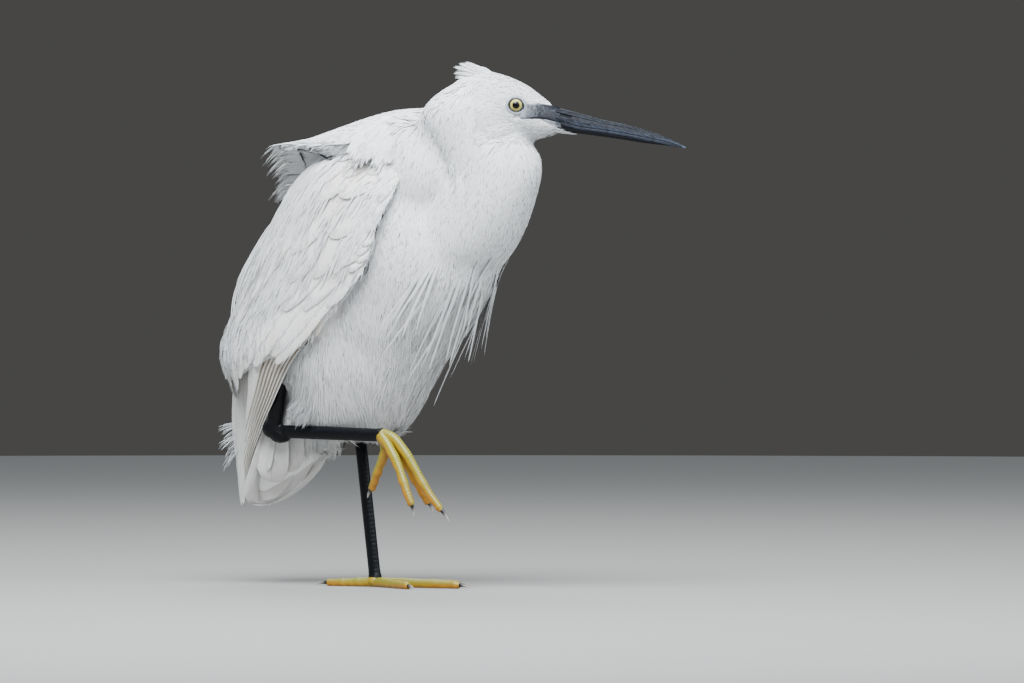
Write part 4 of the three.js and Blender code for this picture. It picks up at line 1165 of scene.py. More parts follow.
def along_path(path, faces, half):
    """Lays a feather along a path."""
    sides = unit(np.cross(unit(np.gradient(path, axis=0)), faces))

    def place(t, s, lift):
        at = np.clip(t * (len(path) - 1), 0, len(path) - 1 - 1e-6)
        low = at.astype(int)
        blend = (at - low)[..., None]
        spot, side, face = (v[low] * (1 - blend) + v[low + 1] * blend for v in (path, sides, faces))
        return spot + side * (s * half)[..., None] + face * lift[..., None]
    return place


def fringe(place, rise, roundness, tilt):
    """Short paths of the loose barbs round a feather's tip, and the way they face."""
    turn = np.radians(np.linspace(-115, 115, FRINGE_TUFTS))
    reach = np.sign(np.cos(turn)) * np.abs(np.cos(turn)) ** (2 / roundness)
    wide = np.sign(np.sin(turn)) * np.abs(np.sin(turn)) ** (2 / roundness)
    path, faces = [], []
    for out in FRINGE_REACH:
        t = 0.5 + 0.5 * reach * out - 0.12 * (FRINGE_REACH[-1] - out)
        s = wide * out
        lift = 0.1 - 0.8 + (rise + 0.8) * smoothstep(t, 0.1, 1.0) - s * tilt - 0.3 * np.abs(s) ** 4
        path.append(place(t, s, lift))
        faces.append(unit(place(t, s, lift + 1) - path[-1]))
    return np.stack(path), np.stack(faces)


def wing_feather(side, middle, half, root, tip, rise, roundness, seed, sweep=0.03, tilt=0.3):
    """A feather of the wing and the fringe round its tip."""
    def place(t, s, lift):
        across = np.clip(middle + s * half + sweep * t, 0.0, 1.05)
        return wing_point(side, across, wing_height(across, root + (tip - root) * t), lift)
    return vane(place, rise, roundness, seed, tilt=tilt), fringe(place, rise, roundness, tilt)


def coverts(side):
    """Rounded coverts in rows over the front of the wing, the longest at its hem."""
    feathers = []
    for row, (count, root, tip, half, rise, roundness) in enumerate(COVERT_ROWS):
        for i in range(count):
            reach = 0.78 if row < len(COVERT_ROWS) - 1 else 1.0
            middle = 0.02 + (i + 0.4 * (row % 2) + 0.3 * vary(row, i, 2)) * reach / count
            end = tip + 0.05 * vary(row, i) - 0.1 * (row < 5) * middle
            wide = half * (1 + 0.15 * vary(i, row, 6))
            feathers.append(wing_feather(side, middle, wide, root, end, rise, roundness, row + i / 9))
    for i, (root, tip, middle, half) in enumerate(EDGE_COVERTS):
        feathers.append(wing_feather(side, middle, half, root, tip, 1.3, 1.9, 15 + i / 9, 0.012))
    return feathers


def scapulars(side):
    """Long soft feathers over the rear half of the wing."""
    feathers = []
    for i in range(SCAPULARS):
        middle = 0.42 + 0.62 * i / (SCAPULARS - 1)
        root, tip = 0.06 * (i % 3), 0.56 + 0.13 * (i % 3) + 0.05 * vary(i, 4)
        feathers.append(wing_feather(side, middle, 0.06, root, tip, 1.6, 1.5, 20 + i, sweep=0.06, tilt=0.2))
    return feathers


def long_feathers(side):
    """The longest flight feathers, white and close together behind the primaries."""
    feathers = []
    for i, (points, half) in enumerate(LONG_FEATHERS):
        line = station_at(np.array(points) * (1, -side, 1), np.linspace(0, len(points) - 1, 24))
        face = np.broadcast_to(unit((-0.25, side, 0.0)), line.shape)
        lay = along_path(line, face, half)
        feathers.append(vane(lay, 0.2, 1.7, 60 + i, narrow=0.85, rows=26, fray=0.01))
    return feathers


def primaries(side):
    feathers = []
    for i in range(PRIMARIES):
        def place(t, s, lift):
            height = PRIMARY_ROOT + (PRIMARY_TIP + i * PRIMARY_STEP - PRIMARY_ROOT) * t
            wide = station_for(WING_STATIONS, height)[..., 3]
            across = 0.1 + 0.025 * i + 0.16 * t + s * PRIMARY_WIDTH * 0.5 / (wide * 1.4)
            return wing_point(side, across, height, -3.4 + 0.36 * i + lift)
        feathers.append(vane(place, 0.2, 1.5, 40 + i, narrow=0.8, tilt=0.6, columns=8, rows=20, fray=0.01))
    return feathers


def feather_piece(name, feathers, look, replaced=()):
    """Joins vanes into one piece, each with its own cell of the baked map."""
    parts = []
    for index, (points, quads, flat) in enumerate(feathers):
        cell = np.array((index % ATLAS, index // ATLAS)) + CELL_MARGIN
        baked = (cell + (1 - 2 * CELL_MARGIN) * flat) / ATLAS
        tone = np.full((len(points), 1), 0.1 + 0.1 * vary(index, 3))
        parts.append((points, quads, (), np.concatenate([flat, baked, tone], axis=1)))
    points, quads, _, values = joined(parts)
    mesh = make_mesh(name, points, quads, look=look)
    lay_map(mesh, "vane", values[:, :2])
    lay_map(mesh, "OFBake", values[:, 2:4])
    mark(mesh, tone=values[:, 4])
    make_piece(name, mesh, replaced)


covert_look = vane_look(
    "covert_white", (0.92, 0.918, 0.91), (0.78, 0.71, 0.61), (0.84, 0.82, 0.78), 0.15, 0.1, drift=0.6,
)
primary_look = vane_look(
    "primary_white", (0.84, 0.835, 0.82), (0.55, 0.5, 0.42), (0.15, 0.11, 0.06), 0.95, 0.2,
    Shaft_Width=0.12, Shaft_Place=0.13,
)
# Tail, long feathers and feathers under the tail: a grey white that is painted shade, for they lie in the
# shade of the body.
tail_look_shaded = vane_look(
    "tail_white_painted_shade", (0.68, 0.675, 0.655), (0.48, 0.46, 0.42), (0.4, 0.35, 0.27), 0.5, 0.15,
)


def wing_lie(points, normals):
    """Down the wing and back, closing in on its tip."""
    way = np.array((-0.55, 0.0, -1.0)) + 0 * points
    way[:, 0] += 0.5 * smoothstep(-points[:, 2], -190, -140)
    return laid(way, normals, 0.08 * swirl(points))


def wing_unwrap(points):
    turn = np.arctan2(points[:, 1], points[:, 0]) / SEAM_TURN
    return np.stack([0.5 + turn, (points[:, 2] - 100) / 190], axis=-1)


def silk_bears(points, facing):
    """The wing's outside: long barbs hide the coverts behind and thin out in front."""
    x, y, z = points.T
    front_angle = station_for(WING_FRONT, z)[:, 1]
    angle = around_body(points - station_for(WING_STATIONS, z)[:, 1:2] * FORWARD)
    across = (angle - front_angle) / (WING_REAR - front_angle)
    outside = facing[:, 0] * x + facing[:, 1] * y > 0
    streaks = 0.5 + 0.5 * np.sin(angle * 0.55 + z * 0.11)
    front = 0.16 * streaks * (z < 268)
    hem = smoothstep(-z, -176, -150) * smoothstep(across, 0.14, 0.32)
    edge = 0.7 * smoothstep(-across, -0.13, -0.04) * smoothstep(z, 205, 225)
    cover = np.maximum(front + (1 - front) * smoothstep(across, 0.36, 0.56), np.maximum(hem, edge))
    return cover * (z > 126) * outside


def silk_length(points):
    return np.clip(points[:, 2] - 118, 9, 30) * (1 - 0.4 * smoothstep(points[:, 0], 22, 34))


def silk_lift(points):
    return 1.6 + 2.6 * smoothstep(-points[:, 2], -190, -150)


wing_grounds = {}
for side_name, side in (("right", -1), ("left", 1)):
    down, across = np.meshgrid(np.linspace(0, 0.97, 41), np.linspace(0.01, 1, 41), indexing="ij")
    height = wing_height(across, down)
    taper = -2.6 * smoothstep(down, 0.65, 0.97)
    shell_points, shell_quads = slab(
        wing_point(side, across, height, taper - 0.6), wing_point(side, across, height, -WING_SHELL),
    )
    flat = np.stack([across, down], axis=-1).reshape(-1, 2)
    shell = (shell_points, shell_quads, np.concatenate([flat, flat]))
    wing_ground = Ground(make_mesh("wing_ground", shell_points, shell_quads), wing_lie, wing_unwrap)
    wing_grounds[side_name] = wing_ground
    wing = coverts(side) + scapulars(side)
    feather_piece(
        f"wing_feathers_{side_name}", [shell] + [feather for feather, _ in wing], covert_look,
        [f"wing_{side_name}"],
    )
    feather_piece(f"primaries_{side_name}", primaries(side), primary_look)
    feather_piece(f"long_feathers_{side_name}", long_feathers(side), tail_look_shaded)
    fringe_path = np.concatenate([path for _, (path, _) in wing], axis=1)
    fringe_faces = np.concatenate([faces for _, (_, faces) in wing], axis=1)
    strand_pieces(
        f"wing_fringe_{side_name}", coat_look, fringe_path, fringe_faces, 3, 1.1, 0.6, 0.1,
        wing_unwrap(fringe_path[0]), np.random.default_rng(26),
    )
    grow_coat(
        f"coat_wing_{side_name}", wing_ground, coat_look, silk_bears, 3.12, 5, 4, silk_length, 2.8, 0.95,
        silk_lift, 22,
    )


# Cape: the back feathers that the wind lifts off the shoulders. A thin sheet, high along
# its right edge and hanging on the left, carries a smooth coat that ends in ragged points.
MANTLE_STATIONS = [
    # distance forward, top height, half width, right droop, left droop, thickness, ridge,
    # how far the left side trails behind
    (50, 298, 16, 10, 8, 8, 0, 0),
    (36, 298.4, 30, 24, 20, 14, 0, 0),
    (18, 297, 40, 19, 30, 14, -0.05, 0),
    (0, 291.8, 42, 14, 30, 11, -0.2, 3),
    (-18, 285, 41, 7.5, 30, 5, -0.4, 9),
    (-34, 280, 37, 3, 30, 2.2, -0.5, 17),
    (-49, 277.2, 33, 1.2, 31, 0.8, -0.55, 24),
    (-60, 276, 29, 1, 31, 0.6, -0.6, 29),
]
MANTLE_SHIFT = -4
MANTLE_CLUMPS = 38


def mantle_point(along, across, lift, sink=0.0):
    """Point of the cape from its front (0) to its rear (1) and across it; sink 1 is its
    underside."""
    row = station_at(MANTLE_STATIONS, np.minimum(along, 1) * (len(MANTLE_STATIONS) - 1))
    beyond = np.maximum(along - 1, 0) * 110
    offset, ridge = across * 2 - 1, row[..., 6]
    right = np.maximum(ridge - offset, 0) / (1 + ridge)
    left = np.maximum(offset - ridge, 0) / (1 - ridge)
    droop = row[..., 3] * right ** 2 + row[..., 4] * left ** 1.7
    return np.stack([
        row[..., 0] - beyond - row[..., 7] * left,
        MANTLE_SHIFT + offset * (row[..., 2] + lift * 0.5) * (1 - 0.012 * sink * row[..., 5]),
        row[..., 1] - beyond * (0.5 + 2.5 * np.maximum(along - 1, 0)) - droop + lift - sink * row[..., 5],
    ], axis=-1)


def cape_lie(points, normals):
    return laid(np.array((-1.0, -0.05, -0.25)) + 0 * points, normals, 0.05 * swirl(points))


def cape_unwrap(points):
    return np.stack([0.5 + points[:, 1] / 120, 0.05 + 0.9 * (points[:, 0] + 90) / 150], axis=-1)


along, across = np.meshgrid(np.linspace(0, 0.84, 49), np.linspace(0, 1, 49), indexing="ij")
cape_points, cape_quads = slab(
    mantle_point(along, across, -0.6 - 0.3 * along), mantle_point(along, across, 0 * along, 1.0),
)
cape_mesh = make_mesh("cape", cape_points, cape_quads, look=cape_look_lightened)
make_piece("cape", cape_mesh, ["mantle"])
cape_ground = Ground(cape_mesh, cape_lie, cape_unwrap)


def cape_bears(points, facing):
    return (points[:, 0] < 52) * np.where(facing[:, 2] > -0.3, 1.0, 0.45 * (points[:, 0] > -14))


grow_coat(
    "coat_cape", cape_ground, coat_look, cape_bears, 2.5, 4, 3, 20, 2.3, 1.1,
    lambda p: np.interp(p[:, 0], (-70, -20, 20), (0.6, 0.8, 1.1)), 21,
)

cape_rng = np.random.default_rng(23)
cape_layers = [
    # share of the sheet's thickness, 1 outside and -1 underneath, start along it, first lift
    (0.0, 1.0, 0.66, 0.3), (1.0, -1.0, 0.48, -1.4),
]
for layer, (sink, outside, start, first_lift) in enumerate(cape_layers):
    clump_path, clump_faces = [], []
    for i in range(MANTLE_CLUMPS):
        middle = (i + 0.5 + 0.3 * vary(i, 8, layer)) / MANTLE_CLUMPS
        end = 1.06 + 0.04 * vary(i, 9, layer) + 0.045 * (i % 3 == layer)
        end = end - 0.05 * layer - 0.05 * (middle < 0.08)
        t = np.linspace(0, 1, 11)
        stretch = start + (end - start) * t
        wander = middle + 0.02 * vary(i, 6) * t ** 2
        lift = first_lift * (1 - 0.8 * t ** 2) + outside * 0.9 * abs(vary(i, 5, layer)) * t ** 5
        spots = mantle_point(stretch, wander, lift, sink)
        beside = mantle_point(stretch, wander + 0.02, lift, sink)
        clump_path.append(spots)
        clump_faces.append(-outside * unit(np.cross(np.gradient(spots, axis=0), beside - spots)))
    clump_path, clump_faces = np.stack(clump_path, axis=1), np.stack(clump_faces, axis=1)
    strand_pieces(
        f"cape_tips_{layer + 1}", cape_look_lightened, clump_path, clump_faces, 17, 3.0, 0.68, 0.3,
        cape_unwrap(clump_path[0]), cape_rng, gather=0.5, loose=layer == 0,
    )


# Shoulder: soft feathers that hang from the front of the cape over the top of the wing and
# end in a scalloped edge.
LOBE_TUFTS = 440

lobe_rng = np.random.default_rng(24)
shoulder_corners = np.concatenate([cape_ground.corners, wing_grounds["right"].corners])
shoulder_mesh = make_mesh(
    "shoulder_ground", shoulder_corners.reshape(-1, 3), [], np.arange(len(shoulder_corners) * 3),
)
shoulder_ground = Ground(shoulder_mesh, wing_lie, cape_unwrap)
lobe_inward = 0.32 * lobe_rng.random(LOBE_TUFTS) ** 1.5
lobe_roots = mantle_point(lobe_rng.uniform(0.0, 0.3, LOBE_TUFTS), lobe_inward, 0.2)
lobe_front = lobe_roots[:, 0]
lobe_length = 17.5 + 0.5 * smoothstep(lobe_front, 8, 34) + 2.5 * np.sin(lobe_front * 0.6) + 45 * lobe_inward
lobe_way = unit(np.array((-0.3, -0.6, -0.7)) + 0.08 * lobe_rng.normal(0, 1, (LOBE_TUFTS, 3)))
lobe_length = lobe_length * lobe_rng.uniform(0.85, 1.1, LOBE_TUFTS)
lobe_path, lobe_faces = draped_paths(shoulder_ground, lobe_roots, lobe_way, lobe_length, 6, 0.2, 1.2)
strand_pieces(
    "coat_shoulder", coat_look, lobe_path, lobe_faces, 5, 2.4, 1.05, 0.5, cape_unwrap(lobe_path[0]),
    lobe_rng, gather=0.3,
)


# Tail: twelve broad feathers in a shallow fan below the rump, rounded at the end, and under
# them the broad soft feathers that reach down behind the legs.
TAIL_ROOT = np.array((-72.0, 0.0, 118.0))
TAIL_TIP = np.array((-91.5, 0.0, 51.5))
TAIL_ROOT_HALF = 14
TAIL_TIP_HALF = 26
TAIL_FEATHERS = 12
TAIL_FEATHER_WIDTH = 11

NESTED = [
    # distance along the picture's width and height of the line of a broad feather
    (-39, 92), (-48, 75), (-60, 62), (-72, 55.5), (-84, 53),
]
NESTED_STEPS = [
    # how far a feather lies before the first one, how far right of the middle, extra lift
    (0, -1.5, 0.0), (4.6, -4.4, 0.35), (9.2, -7.6, 0.6), (13.8, -10.4, 0.8), (18.4, -12.6, 0.9),
]
NESTED_HALF = 7.4
PICTURE_FORWARD = 0.819  # share of the forward way in the picture's width
PICTURE_LEFT = 0.574  # share of the way left in it
TONGUE = [
    # root of a covert of the tongue under the hock, its length and half width
    ((-50, -20, 102), 34, 10.0), ((-67, -15, 106), 36, 10.0), ((-60, -19, 106), 44, 13.0),
]

tail_way = TAIL_TIP - TAIL_ROOT
tail_under = unit(np.array((-tail_way[2], 0, tail_way[0])))


def tail_feather(i):
    spread = (i + 0.5) / TAIL_FEATHERS * 2 - 1

    def place(t, s, lift):
        reach = t * (1 - 0.08 * spread ** 2)
        point = TAIL_ROOT + reach[..., None] * tail_way
        width = TAIL_ROOT_HALF + (TAIL_TIP_HALF - TAIL_ROOT_HALF) * t
        aside = spread * width + s * TAIL_FEATHER_WIDTH * 0.5 * (0.6 + 0.4 * t) * np.sign(spread)
        rise = 3 * spread ** 2 + 1.6 * abs(spread) + lift
        return point + aside[..., None] * np.array((0, 1, 0)) + rise[..., None] * tail_under
    return vane(place, 0.1, 2.4, 120 + i, narrow=0.8, tilt=0.5, rows=18)


feather_piece("tail_feathers", [tail_feather(i) for i in range(TAIL_FEATHERS)], tail_look_shaded, ["tail"])


def tongue_lie(points, normals):
    return laid(np.array((-0.3, 0.0, -1.0)) + 0 * points, normals)


def laid_feather(ground, root, length, half, clearance, seed):
    """One broad feather that follows the ground from its root."""
    still = np.zeros(1)
    path, faces = ground_paths(ground, np.array([root], float), still + length, 16, still, still)
    lay = along_path(path[:, 0] + faces[:, 0] * clearance, faces[:, 0], half)
    return vane(lay, 0.5, 2.3, seed, narrow=0.75, rows=24, fray=0.012)


def nested_feather(side, step, aside, bend):
    """One of the broad feathers that lie one over the other at the tail's lower edge."""
    line = station_at(NESTED, np.linspace(0, len(NESTED) - 1, 28))
    share = np.linspace(0, 1, 28)
    picture = line[:, 0] - step * (1 - share ** 2)
    height = line[:, 1] + step * (1 - 0.75 * share)
    y = -aside * (1 - 0.5 * share)
    points = np.stack([(picture + PICTURE_LEFT * y) / PICTURE_FORWARD, side * y, height], axis=-1)
    near, facing = skin_ground.nearest(points)
    sunk = 0.8 + bend - ((points - near) * facing).sum(axis=1)
    points = points + facing * np.clip(sunk, 0, 6)[:, None]
    for _ in range(6):
        points[1:-1] = (points[:-2] + points[1:-1] * 2 + points[2:]) / 4
    face = np.broadcast_to(unit((0.35, side * 0.9, -0.25)), points.shape)
    lay = along_path(points, face, NESTED_HALF)
    return vane(lay, 0.5, 2.2, 140 + step + side, narrow=0.8, tilt=0.5, rows=26, fray=0.01)


tongue_ground = Ground(skin_mesh, tongue_lie, unwrap)
feather_piece(
    "undertail_feathers", [nested_feather(side, *step) for side in (-1, 1) for step in NESTED_STEPS],
    tail_look_shaded,
)
tongue = []
for side in (1, -1):
    for i, (root, length, half) in enumerate(TONGUE):
        root = np.array(root) * (1, side, 1)
        tongue.append(laid_feather(tongue_ground, root, length, half, 1.2 + 0.35 * i, 180 + i + side))
feather_piece("undertail_coverts", tongue, tail_look_shaded)


# Back plumes: fine loose filaments that stand clear of the rear of the wings, and downy
# wisps behind the long feathers.
REAR_LINE = [
    # distance forward, height, of the outermost filament
    (-84, 226), (-91.6, 216), (-104, 198), (-111, 184.6), (-113.8, 173), (-114.6, 160), (-114, 148),
]
FILAMENTS = 9
WISPS = 10


def bent(start, middle, tip, count):
    """Points of a line from start to tip that bends toward a middle point."""
    t = np.linspace(0, 1, count)[:, None]
    return start * (1 - t) ** 2 + 2 * middle * t * (1 - t) + tip * t ** 2


def map_row(count, step, height):
    """Places in a row on the baked map."""
    return np.stack([0.05 + step * np.arange(count), np.full(count, height)], axis=-1)


plume_back_rng = np.random.default_rng(27)
filaments, filament_faces = [], []
for i in range(FILAMENTS):
    t = np.linspace(0.02 * i, 1 - 0.07 * (i % 3), 13)
    row = station_at(REAR_LINE, t * (len(REAR_LINE) - 1))
    inward = 0.95 * i * smoothstep(t, 0, 0.5)
    aside = -1.5 + 1.2 * (i % 3) + 1.5 * vary(i, 2) * t
    filaments.append(np.stack([row[:, 0] + inward, aside, row[:, 1] + 1.5 * vary(i, 4) * t], axis=-1))
    filament_faces.append(np.broadcast_to((0.0, -1.0, 0.0), (13, 3)))
strand_pieces(
    "back_plumes", coat_look, np.stack(filaments, axis=1), np.stack(filament_faces, axis=1), 2, 0.5, 0.75,
    0.2, map_row(FILAMENTS, 0.1, 0.9), plume_back_rng,
)
wisps, wisp_faces = [], []
for i in range(WISPS):
    share = i / (WISPS - 1)
    start = np.array((-106.0, -5.0 + 3 * vary(i, 1), 101 - 16 * share))
    tip = np.array((
        -119 + 6 * share + 2 * vary(i, 3), -9 + 3 * vary(i, 6), 97 - 27 * share + 2 * vary(i, 5),
    ))
    wisps.append(bent(start, (start + tip) / 2 - FORWARD * 2 + UP * 1.5, tip, 8))
    wisp_faces.append(np.broadcast_to((0.0, -1.0, 0.0), (8, 3)))
strand_pieces(
    "wisps", coat_look, np.stack(wisps, axis=1), np.stack(wisp_faces, axis=1), 5, 2.8, 0.22, 0.2,
    map_row(WISPS, 0.06, 0.8), plume_back_rng, loose=True,
)


# Bare skin: the lids, the lores from the eye to the bill and the corner of the mouth are
# naked, mottled blue-grey skin. A shader group spots a pale and a dark colour by a noise;
# the bill, the legs and the claws use it too.
EYE_REACH = 85.6
EYE_HEIGHT = 300.9
EYE_ASIDE = 10.0
EYE_RADIUS = 5.2
LID_PROFILE = [
    # distance from the eye's axis, share of the face's surface against the eyeball's, rise
    (5.4, 1.0, -1.9),
    (6.3, 1.0, -0.5),
    (5.7, 1.0, 0.05),
    (5.1, 1.0, 0.2),
    (4.7, 0.8, 0.3),
    (4.35, 0.35, 0.42),
    (4.1, 0.05, 0.46),
    (3.92, 0.0, 0.34),
    (3.84, 0.0, 0.05),
    (3.75, 0.0, -0.9),
]

mottled, mottled_in = shader_group("mottled", {
    "Place": (0, 0, 0), "Light": (0.5, 0.5, 0.5, 1), "Dark": (0.03, 0.035, 0.045, 1), "Darkness": 0.5,
    "Scale": 900.0, "Contrast": 1.0,
}, ["Color", "Height"])
mottle = noise(mottled, mottled_in["Place"], mottled_in["Scale"], 5.0, Roughness=0.62)
mottle_shift = reckon(mottled, "SUBTRACT", mottle, 0.5)
mottle_share = reckon(mottled, "MULTIPLY_ADD", mottle_shift, mottled_in["Contrast"], mottled_in["Darkness"])
mottle_color = mixed(mottled, mottle_share, mottled_in["Light"], mottled_in["Dark"])
add_node(mottled, "NodeGroupOutput", Color=mottle_color, Height=mottle)


def mottled_look(name, light, dark, roughness, scale, contrast, bump, run=None, **constants):
    """Material that runs from a pale colour to a dark one by the mesh's darkness values. Its
    spots follow the map named run, or else the object's own space."""
    look, tree, shader = new_look(name, Roughness=roughness, **constants)
    spots = add_node(
        tree, "ShaderNodeGroup", {"node_tree": mottled}, Light=(*light, 1), Dark=(*dark, 1),
        Place=map_place(tree, run) if run else object_place(tree), Darkness=point_value(tree, "darkness"),
        Scale=scale, Contrast=contrast,
    ).outputs
    dress(tree, shader, spots["Color"], spots["Height"], bump, 0.0003)
    return look, tree, shader


def head_width(reach, height):
    """Half width of the head at a distance along the bill and a height."""
    row = station_for(HEAD_STATIONS, reach)
    rise = (height - row[..., 1]) / row[..., 2]
    return row[..., 3] * np.sqrt(np.maximum(1 - rise ** 2, 0))


def eyeball(distance):
    return EYE_ASIDE + np.sqrt(np.maximum(EYE_RADIUS ** 2 - distance ** 2, 0))


def lid(side):
    """Ring of skin round an eye, pointed a little to the front and rear."""
    turn = full_turn(80)
    pointed = 1 + 0.13 * np.maximum(np.cos(turn + 0.25), 0) ** 8 + 0.07 * np.maximum(-np.cos(turn), 0) ** 8
    rings, darkness = [], []
    for distance, share, rise in LID_PROFILE:
        reach = EYE_REACH + np.cos(turn) * distance * pointed
        height = EYE_HEIGHT + np.sin(turn) * distance * pointed
        folds = 0.05 * np.sin(turn * 23) * (4.3 < distance < 6)
        aside = share * head_width(reach, height) + (1 - share) * eyeball(distance) + rise + folds
        rings.append(head_point(reach, side * aside, height))
        darkness.append(np.full(80, 1.3 if distance < 4.4 else 0.35 if distance < 4.8 else -0.1))
    return *lofted(rings), np.concatenate([*darkness, [0, 1]])


def face_sheet(side, low, high, start, end, dark):
    """Thin sheet of bare skin on the face between two height lines."""
    along, up = np.meshgrid(np.linspace(0, 1, 76), np.linspace(0, 1, 30), indexing="ij")
    reach = start + (end - start) * along
    height = low(reach) + (high(reach) - low(reach)) * up
    surface = np.maximum(head_width(reach, height), bill_width(reach, height) - 0.1)
    edge = np.minimum(np.minimum(up, 1 - up) * 14, np.minimum(along * 26, (1 - along) * 6))
    lift = 0.2 - 0.8 * (1 - smoothstep(edge, 0, 1.6))
    outer = head_point(reach, side * (surface + lift), height)
    inner = head_point(reach, side * (surface - 1.3), height)
    shade = dark(reach, height).ravel()
    return *slab(outer, inner), (), np.concatenate([shade, shade])


BILL_STATIONS = [
    # distance, top of the upper half, meeting line, foot of the lower half, half width
    (100, 302, 292.8, 286, 5.6),
    (104, 301.6, 292.3, 285.2, 5.6),
    (113, 299, 290.3, 284.3, 5.2),
    (126, 295.6, 287.4, 282.9, 4.4),
    (139, 292, 285.6, 281.2, 3.7),
    (152, 289.3, 283.6, 279.4, 3.1),
    (164, 286, 281.2, 277.5, 2.5),
    (177, 281.8, 278.5, 276, 1.8),
    (186, 277.6, 276, 274.9, 1.1),
    (191, 274.9, 274.5, 274.1, 0.5),
]


def bill_width(reach, height):
    """Half width of the bill at a distance along it and a height."""
    row = station_for(BILL_STATIONS, reach)
    rise = np.where(height > row[..., 2], row[..., 1] - row[..., 2], row[..., 2] - row[..., 3])
    share = np.clip(np.abs(height - row[..., 2]) / rise, 0, 1)
    return row[..., 4] * np.sqrt(1 - share ** 2)


def lores_dark(reach, height):
    """Pale by the eye, blue-grey before it, nearly black along the mouth's line."""
    base = np.interp(
        reach, (88, 90.5, 93, 97, 100, 104, 108, 113), (-0.05, 0.2, 0.65, 0.85, 0.98, 1.08, 1.15, 1.3),
    )
    above = height - gape_line(reach)
    streak = 0.4 * np.exp(-(above / 0.8) ** 2) * smoothstep(reach, 90, 96)
    pale = 0.4 * np.exp(-((reach - 109.6) / 1.8) ** 2 - ((height - 297.8) / 1.4) ** 2)
    rim = 0.35 * smoothstep(height - lores_top(reach), -1.0, -0.1) * smoothstep(-reach, -110, -104)
    return base + streak - pale - rim


def jaw_dark(reach, height):
    below = gape_line(reach) - height
    return 0.95 * smoothstep(reach - 1.1 * below, 100, 112) + 0.2 * np.exp(-(below / 0.7) ** 2) - 0.1


bare_look = mottled_look("bare_skin", (0.3, 0.32, 0.36), (0.004, 0.006, 0.012), 0.5, 620.0, 1.5, 0.3)[0]
bare_parts = []
for side in (-1, 1):
    bare_parts += [
        lid(side),
        face_sheet(side, lambda r: gape_line(r) - 0.2, lores_top, 88, 113, lores_dark),
        face_sheet(side, feather_line, lambda r: gape_line(r) - 0.2, 102.4, 116, jaw_dark),
    ]
*bare_form, bare_dark = joined(bare_parts)
bare_mesh = make_mesh("bare_face", *bare_form, bare_look)
mark(bare_mesh, darkness=bare_dark)
make_piece("bare_face", bare_mesh)

chin_rng = np.random.default_rng(33)
CHIN_TUFTS = 300
chin_reach = chin_rng.uniform(100, 118, CHIN_TUFTS)
chin_round = np.radians(np.interp(chin_reach, (100, 106, 118), (84, 62, 22)))
chin_bend = chin_rng.uniform(-1, 1, CHIN_TUFTS) * chin_round
chin_path, chin_faces = [], []
for t in np.linspace(0, 1, 6):
    ahead = chin_reach + 6.0 * t
    chin_row = station_for(BILL_STATIONS, ahead)
    out = 0.15 + 0.45 * math.sin(math.pi * t)
    chin_side = np.sin(chin_bend) * (chin_row[:, 4] + out)
    chin_height = chin_row[:, 2] - np.cos(chin_bend) * (chin_row[:, 2] - chin_row[:, 3] + out)
    chin_path.append(head_point(ahead, chin_side, chin_height))
    chin_faces.append(unit(HEAD_ASIDE * np.sin(chin_bend)[:, None] - UP * np.cos(chin_bend)[:, None]))
strand_pieces(
    "chin_feathers", coat_look, np.stack(chin_path), np.stack(chin_faces), 4, 0.7, 0.4, 0.15,
    unwrap(chin_path[0]), chin_rng,
)


# Eyes: a clear wet ball apiece, a little more bulged in front, with a pale yellow iris,
# finely rayed, round a black pupil.
EYE_RINGS = 56
EYE_SIDES = 72

eye_look, eye_tree, eye_shader = new_look(
    "eye_wet", Roughness=0.25, Specular_IOR_Level=0.15, Coat_Weight=0.25, Coat_Roughness=0.02,
)
eye_zones = add_node(eye_tree, "ShaderNodeValToRGB", Fac=point_value(eye_tree, "away"))
zones = eye_zones.color_ramp
for place, color in (
    (0.0, (0.0005, 0.0005, 0.0006)), (0.4, (0.0005, 0.0005, 0.0006)), (0.42, (0.16, 0.12, 0.02)),
    (0.46, (0.42, 0.38, 0.08)), (0.62, (0.52, 0.49, 0.17)), (0.71, (0.26, 0.22, 0.05)),
    (0.75, (0.006, 0.006, 0.005)),
):
    stop = zones.elements.new(place)
    stop.color = (*color, 1)
zones.elements.remove(zones.elements[-1])
zones.elements.remove(zones.elements[0])
eye_rays = noise(eye_tree, map_place(eye_tree, "run"), 26.0, 3.0)
eye_rays = stretch_to(eye_tree, eye_rays, 0.3, 0.7, 0.72)
dress(eye_tree, eye_shader, mixed(eye_tree, 1.0, eye_zones.outputs["Color"], eye_rays, "MULTIPLY"))

for side_name, side in (("right", -1), ("left", 1)):
    bend = np.linspace(0.02, math.pi - 0.02, EYE_RINGS)[:, None]
    turn = full_turn(EYE_SIDES)[None, :]
    bulge = EYE_RADIUS + 0.25 * np.maximum(1 - (EYE_RADIUS * np.sin(bend) / 3.2) ** 2, 0) * (bend < 1.5)
    rings = head_point(
        EYE_REACH + bulge * np.sin(bend) * np.cos(turn),
        side * (EYE_ASIDE + bulge * np.cos(bend) + 0 * turn),
        EYE_HEIGHT + bulge * np.sin(bend) * np.sin(turn),
    )
    eye_mesh = make_mesh(f"eyeball_{side_name}", *lofted(rings), eye_look)
    away = np.where(bend < 1.5, np.sin(bend), 1) + 0 * turn
    mark(eye_mesh, away=np.concatenate([away.ravel(), [0, 1]]))
    ray = np.stack([np.cos(turn) + 0 * bend, np.sin(turn) + 0.12 * bend], axis=-1).reshape(-1, 2)
    lay_map(eye_mesh, "run", np.concatenate([ray, [[0, 0], [0, 0]]]))
    make_piece(eye_mesh.name, eye_mesh, [f"eye_{side_name}"])


# Bill: two long horny halves that meet at a fine line, the upper one with a slit of a
# nostril in a groove. Dark slate with pale scuffs along it and a whitish tip.
BILL_ROWS = 190
BILL_ARC = 56
NOSTRIL_START = (110.6, 295.7)
NOSTRIL_END = (119.8, 293.6)

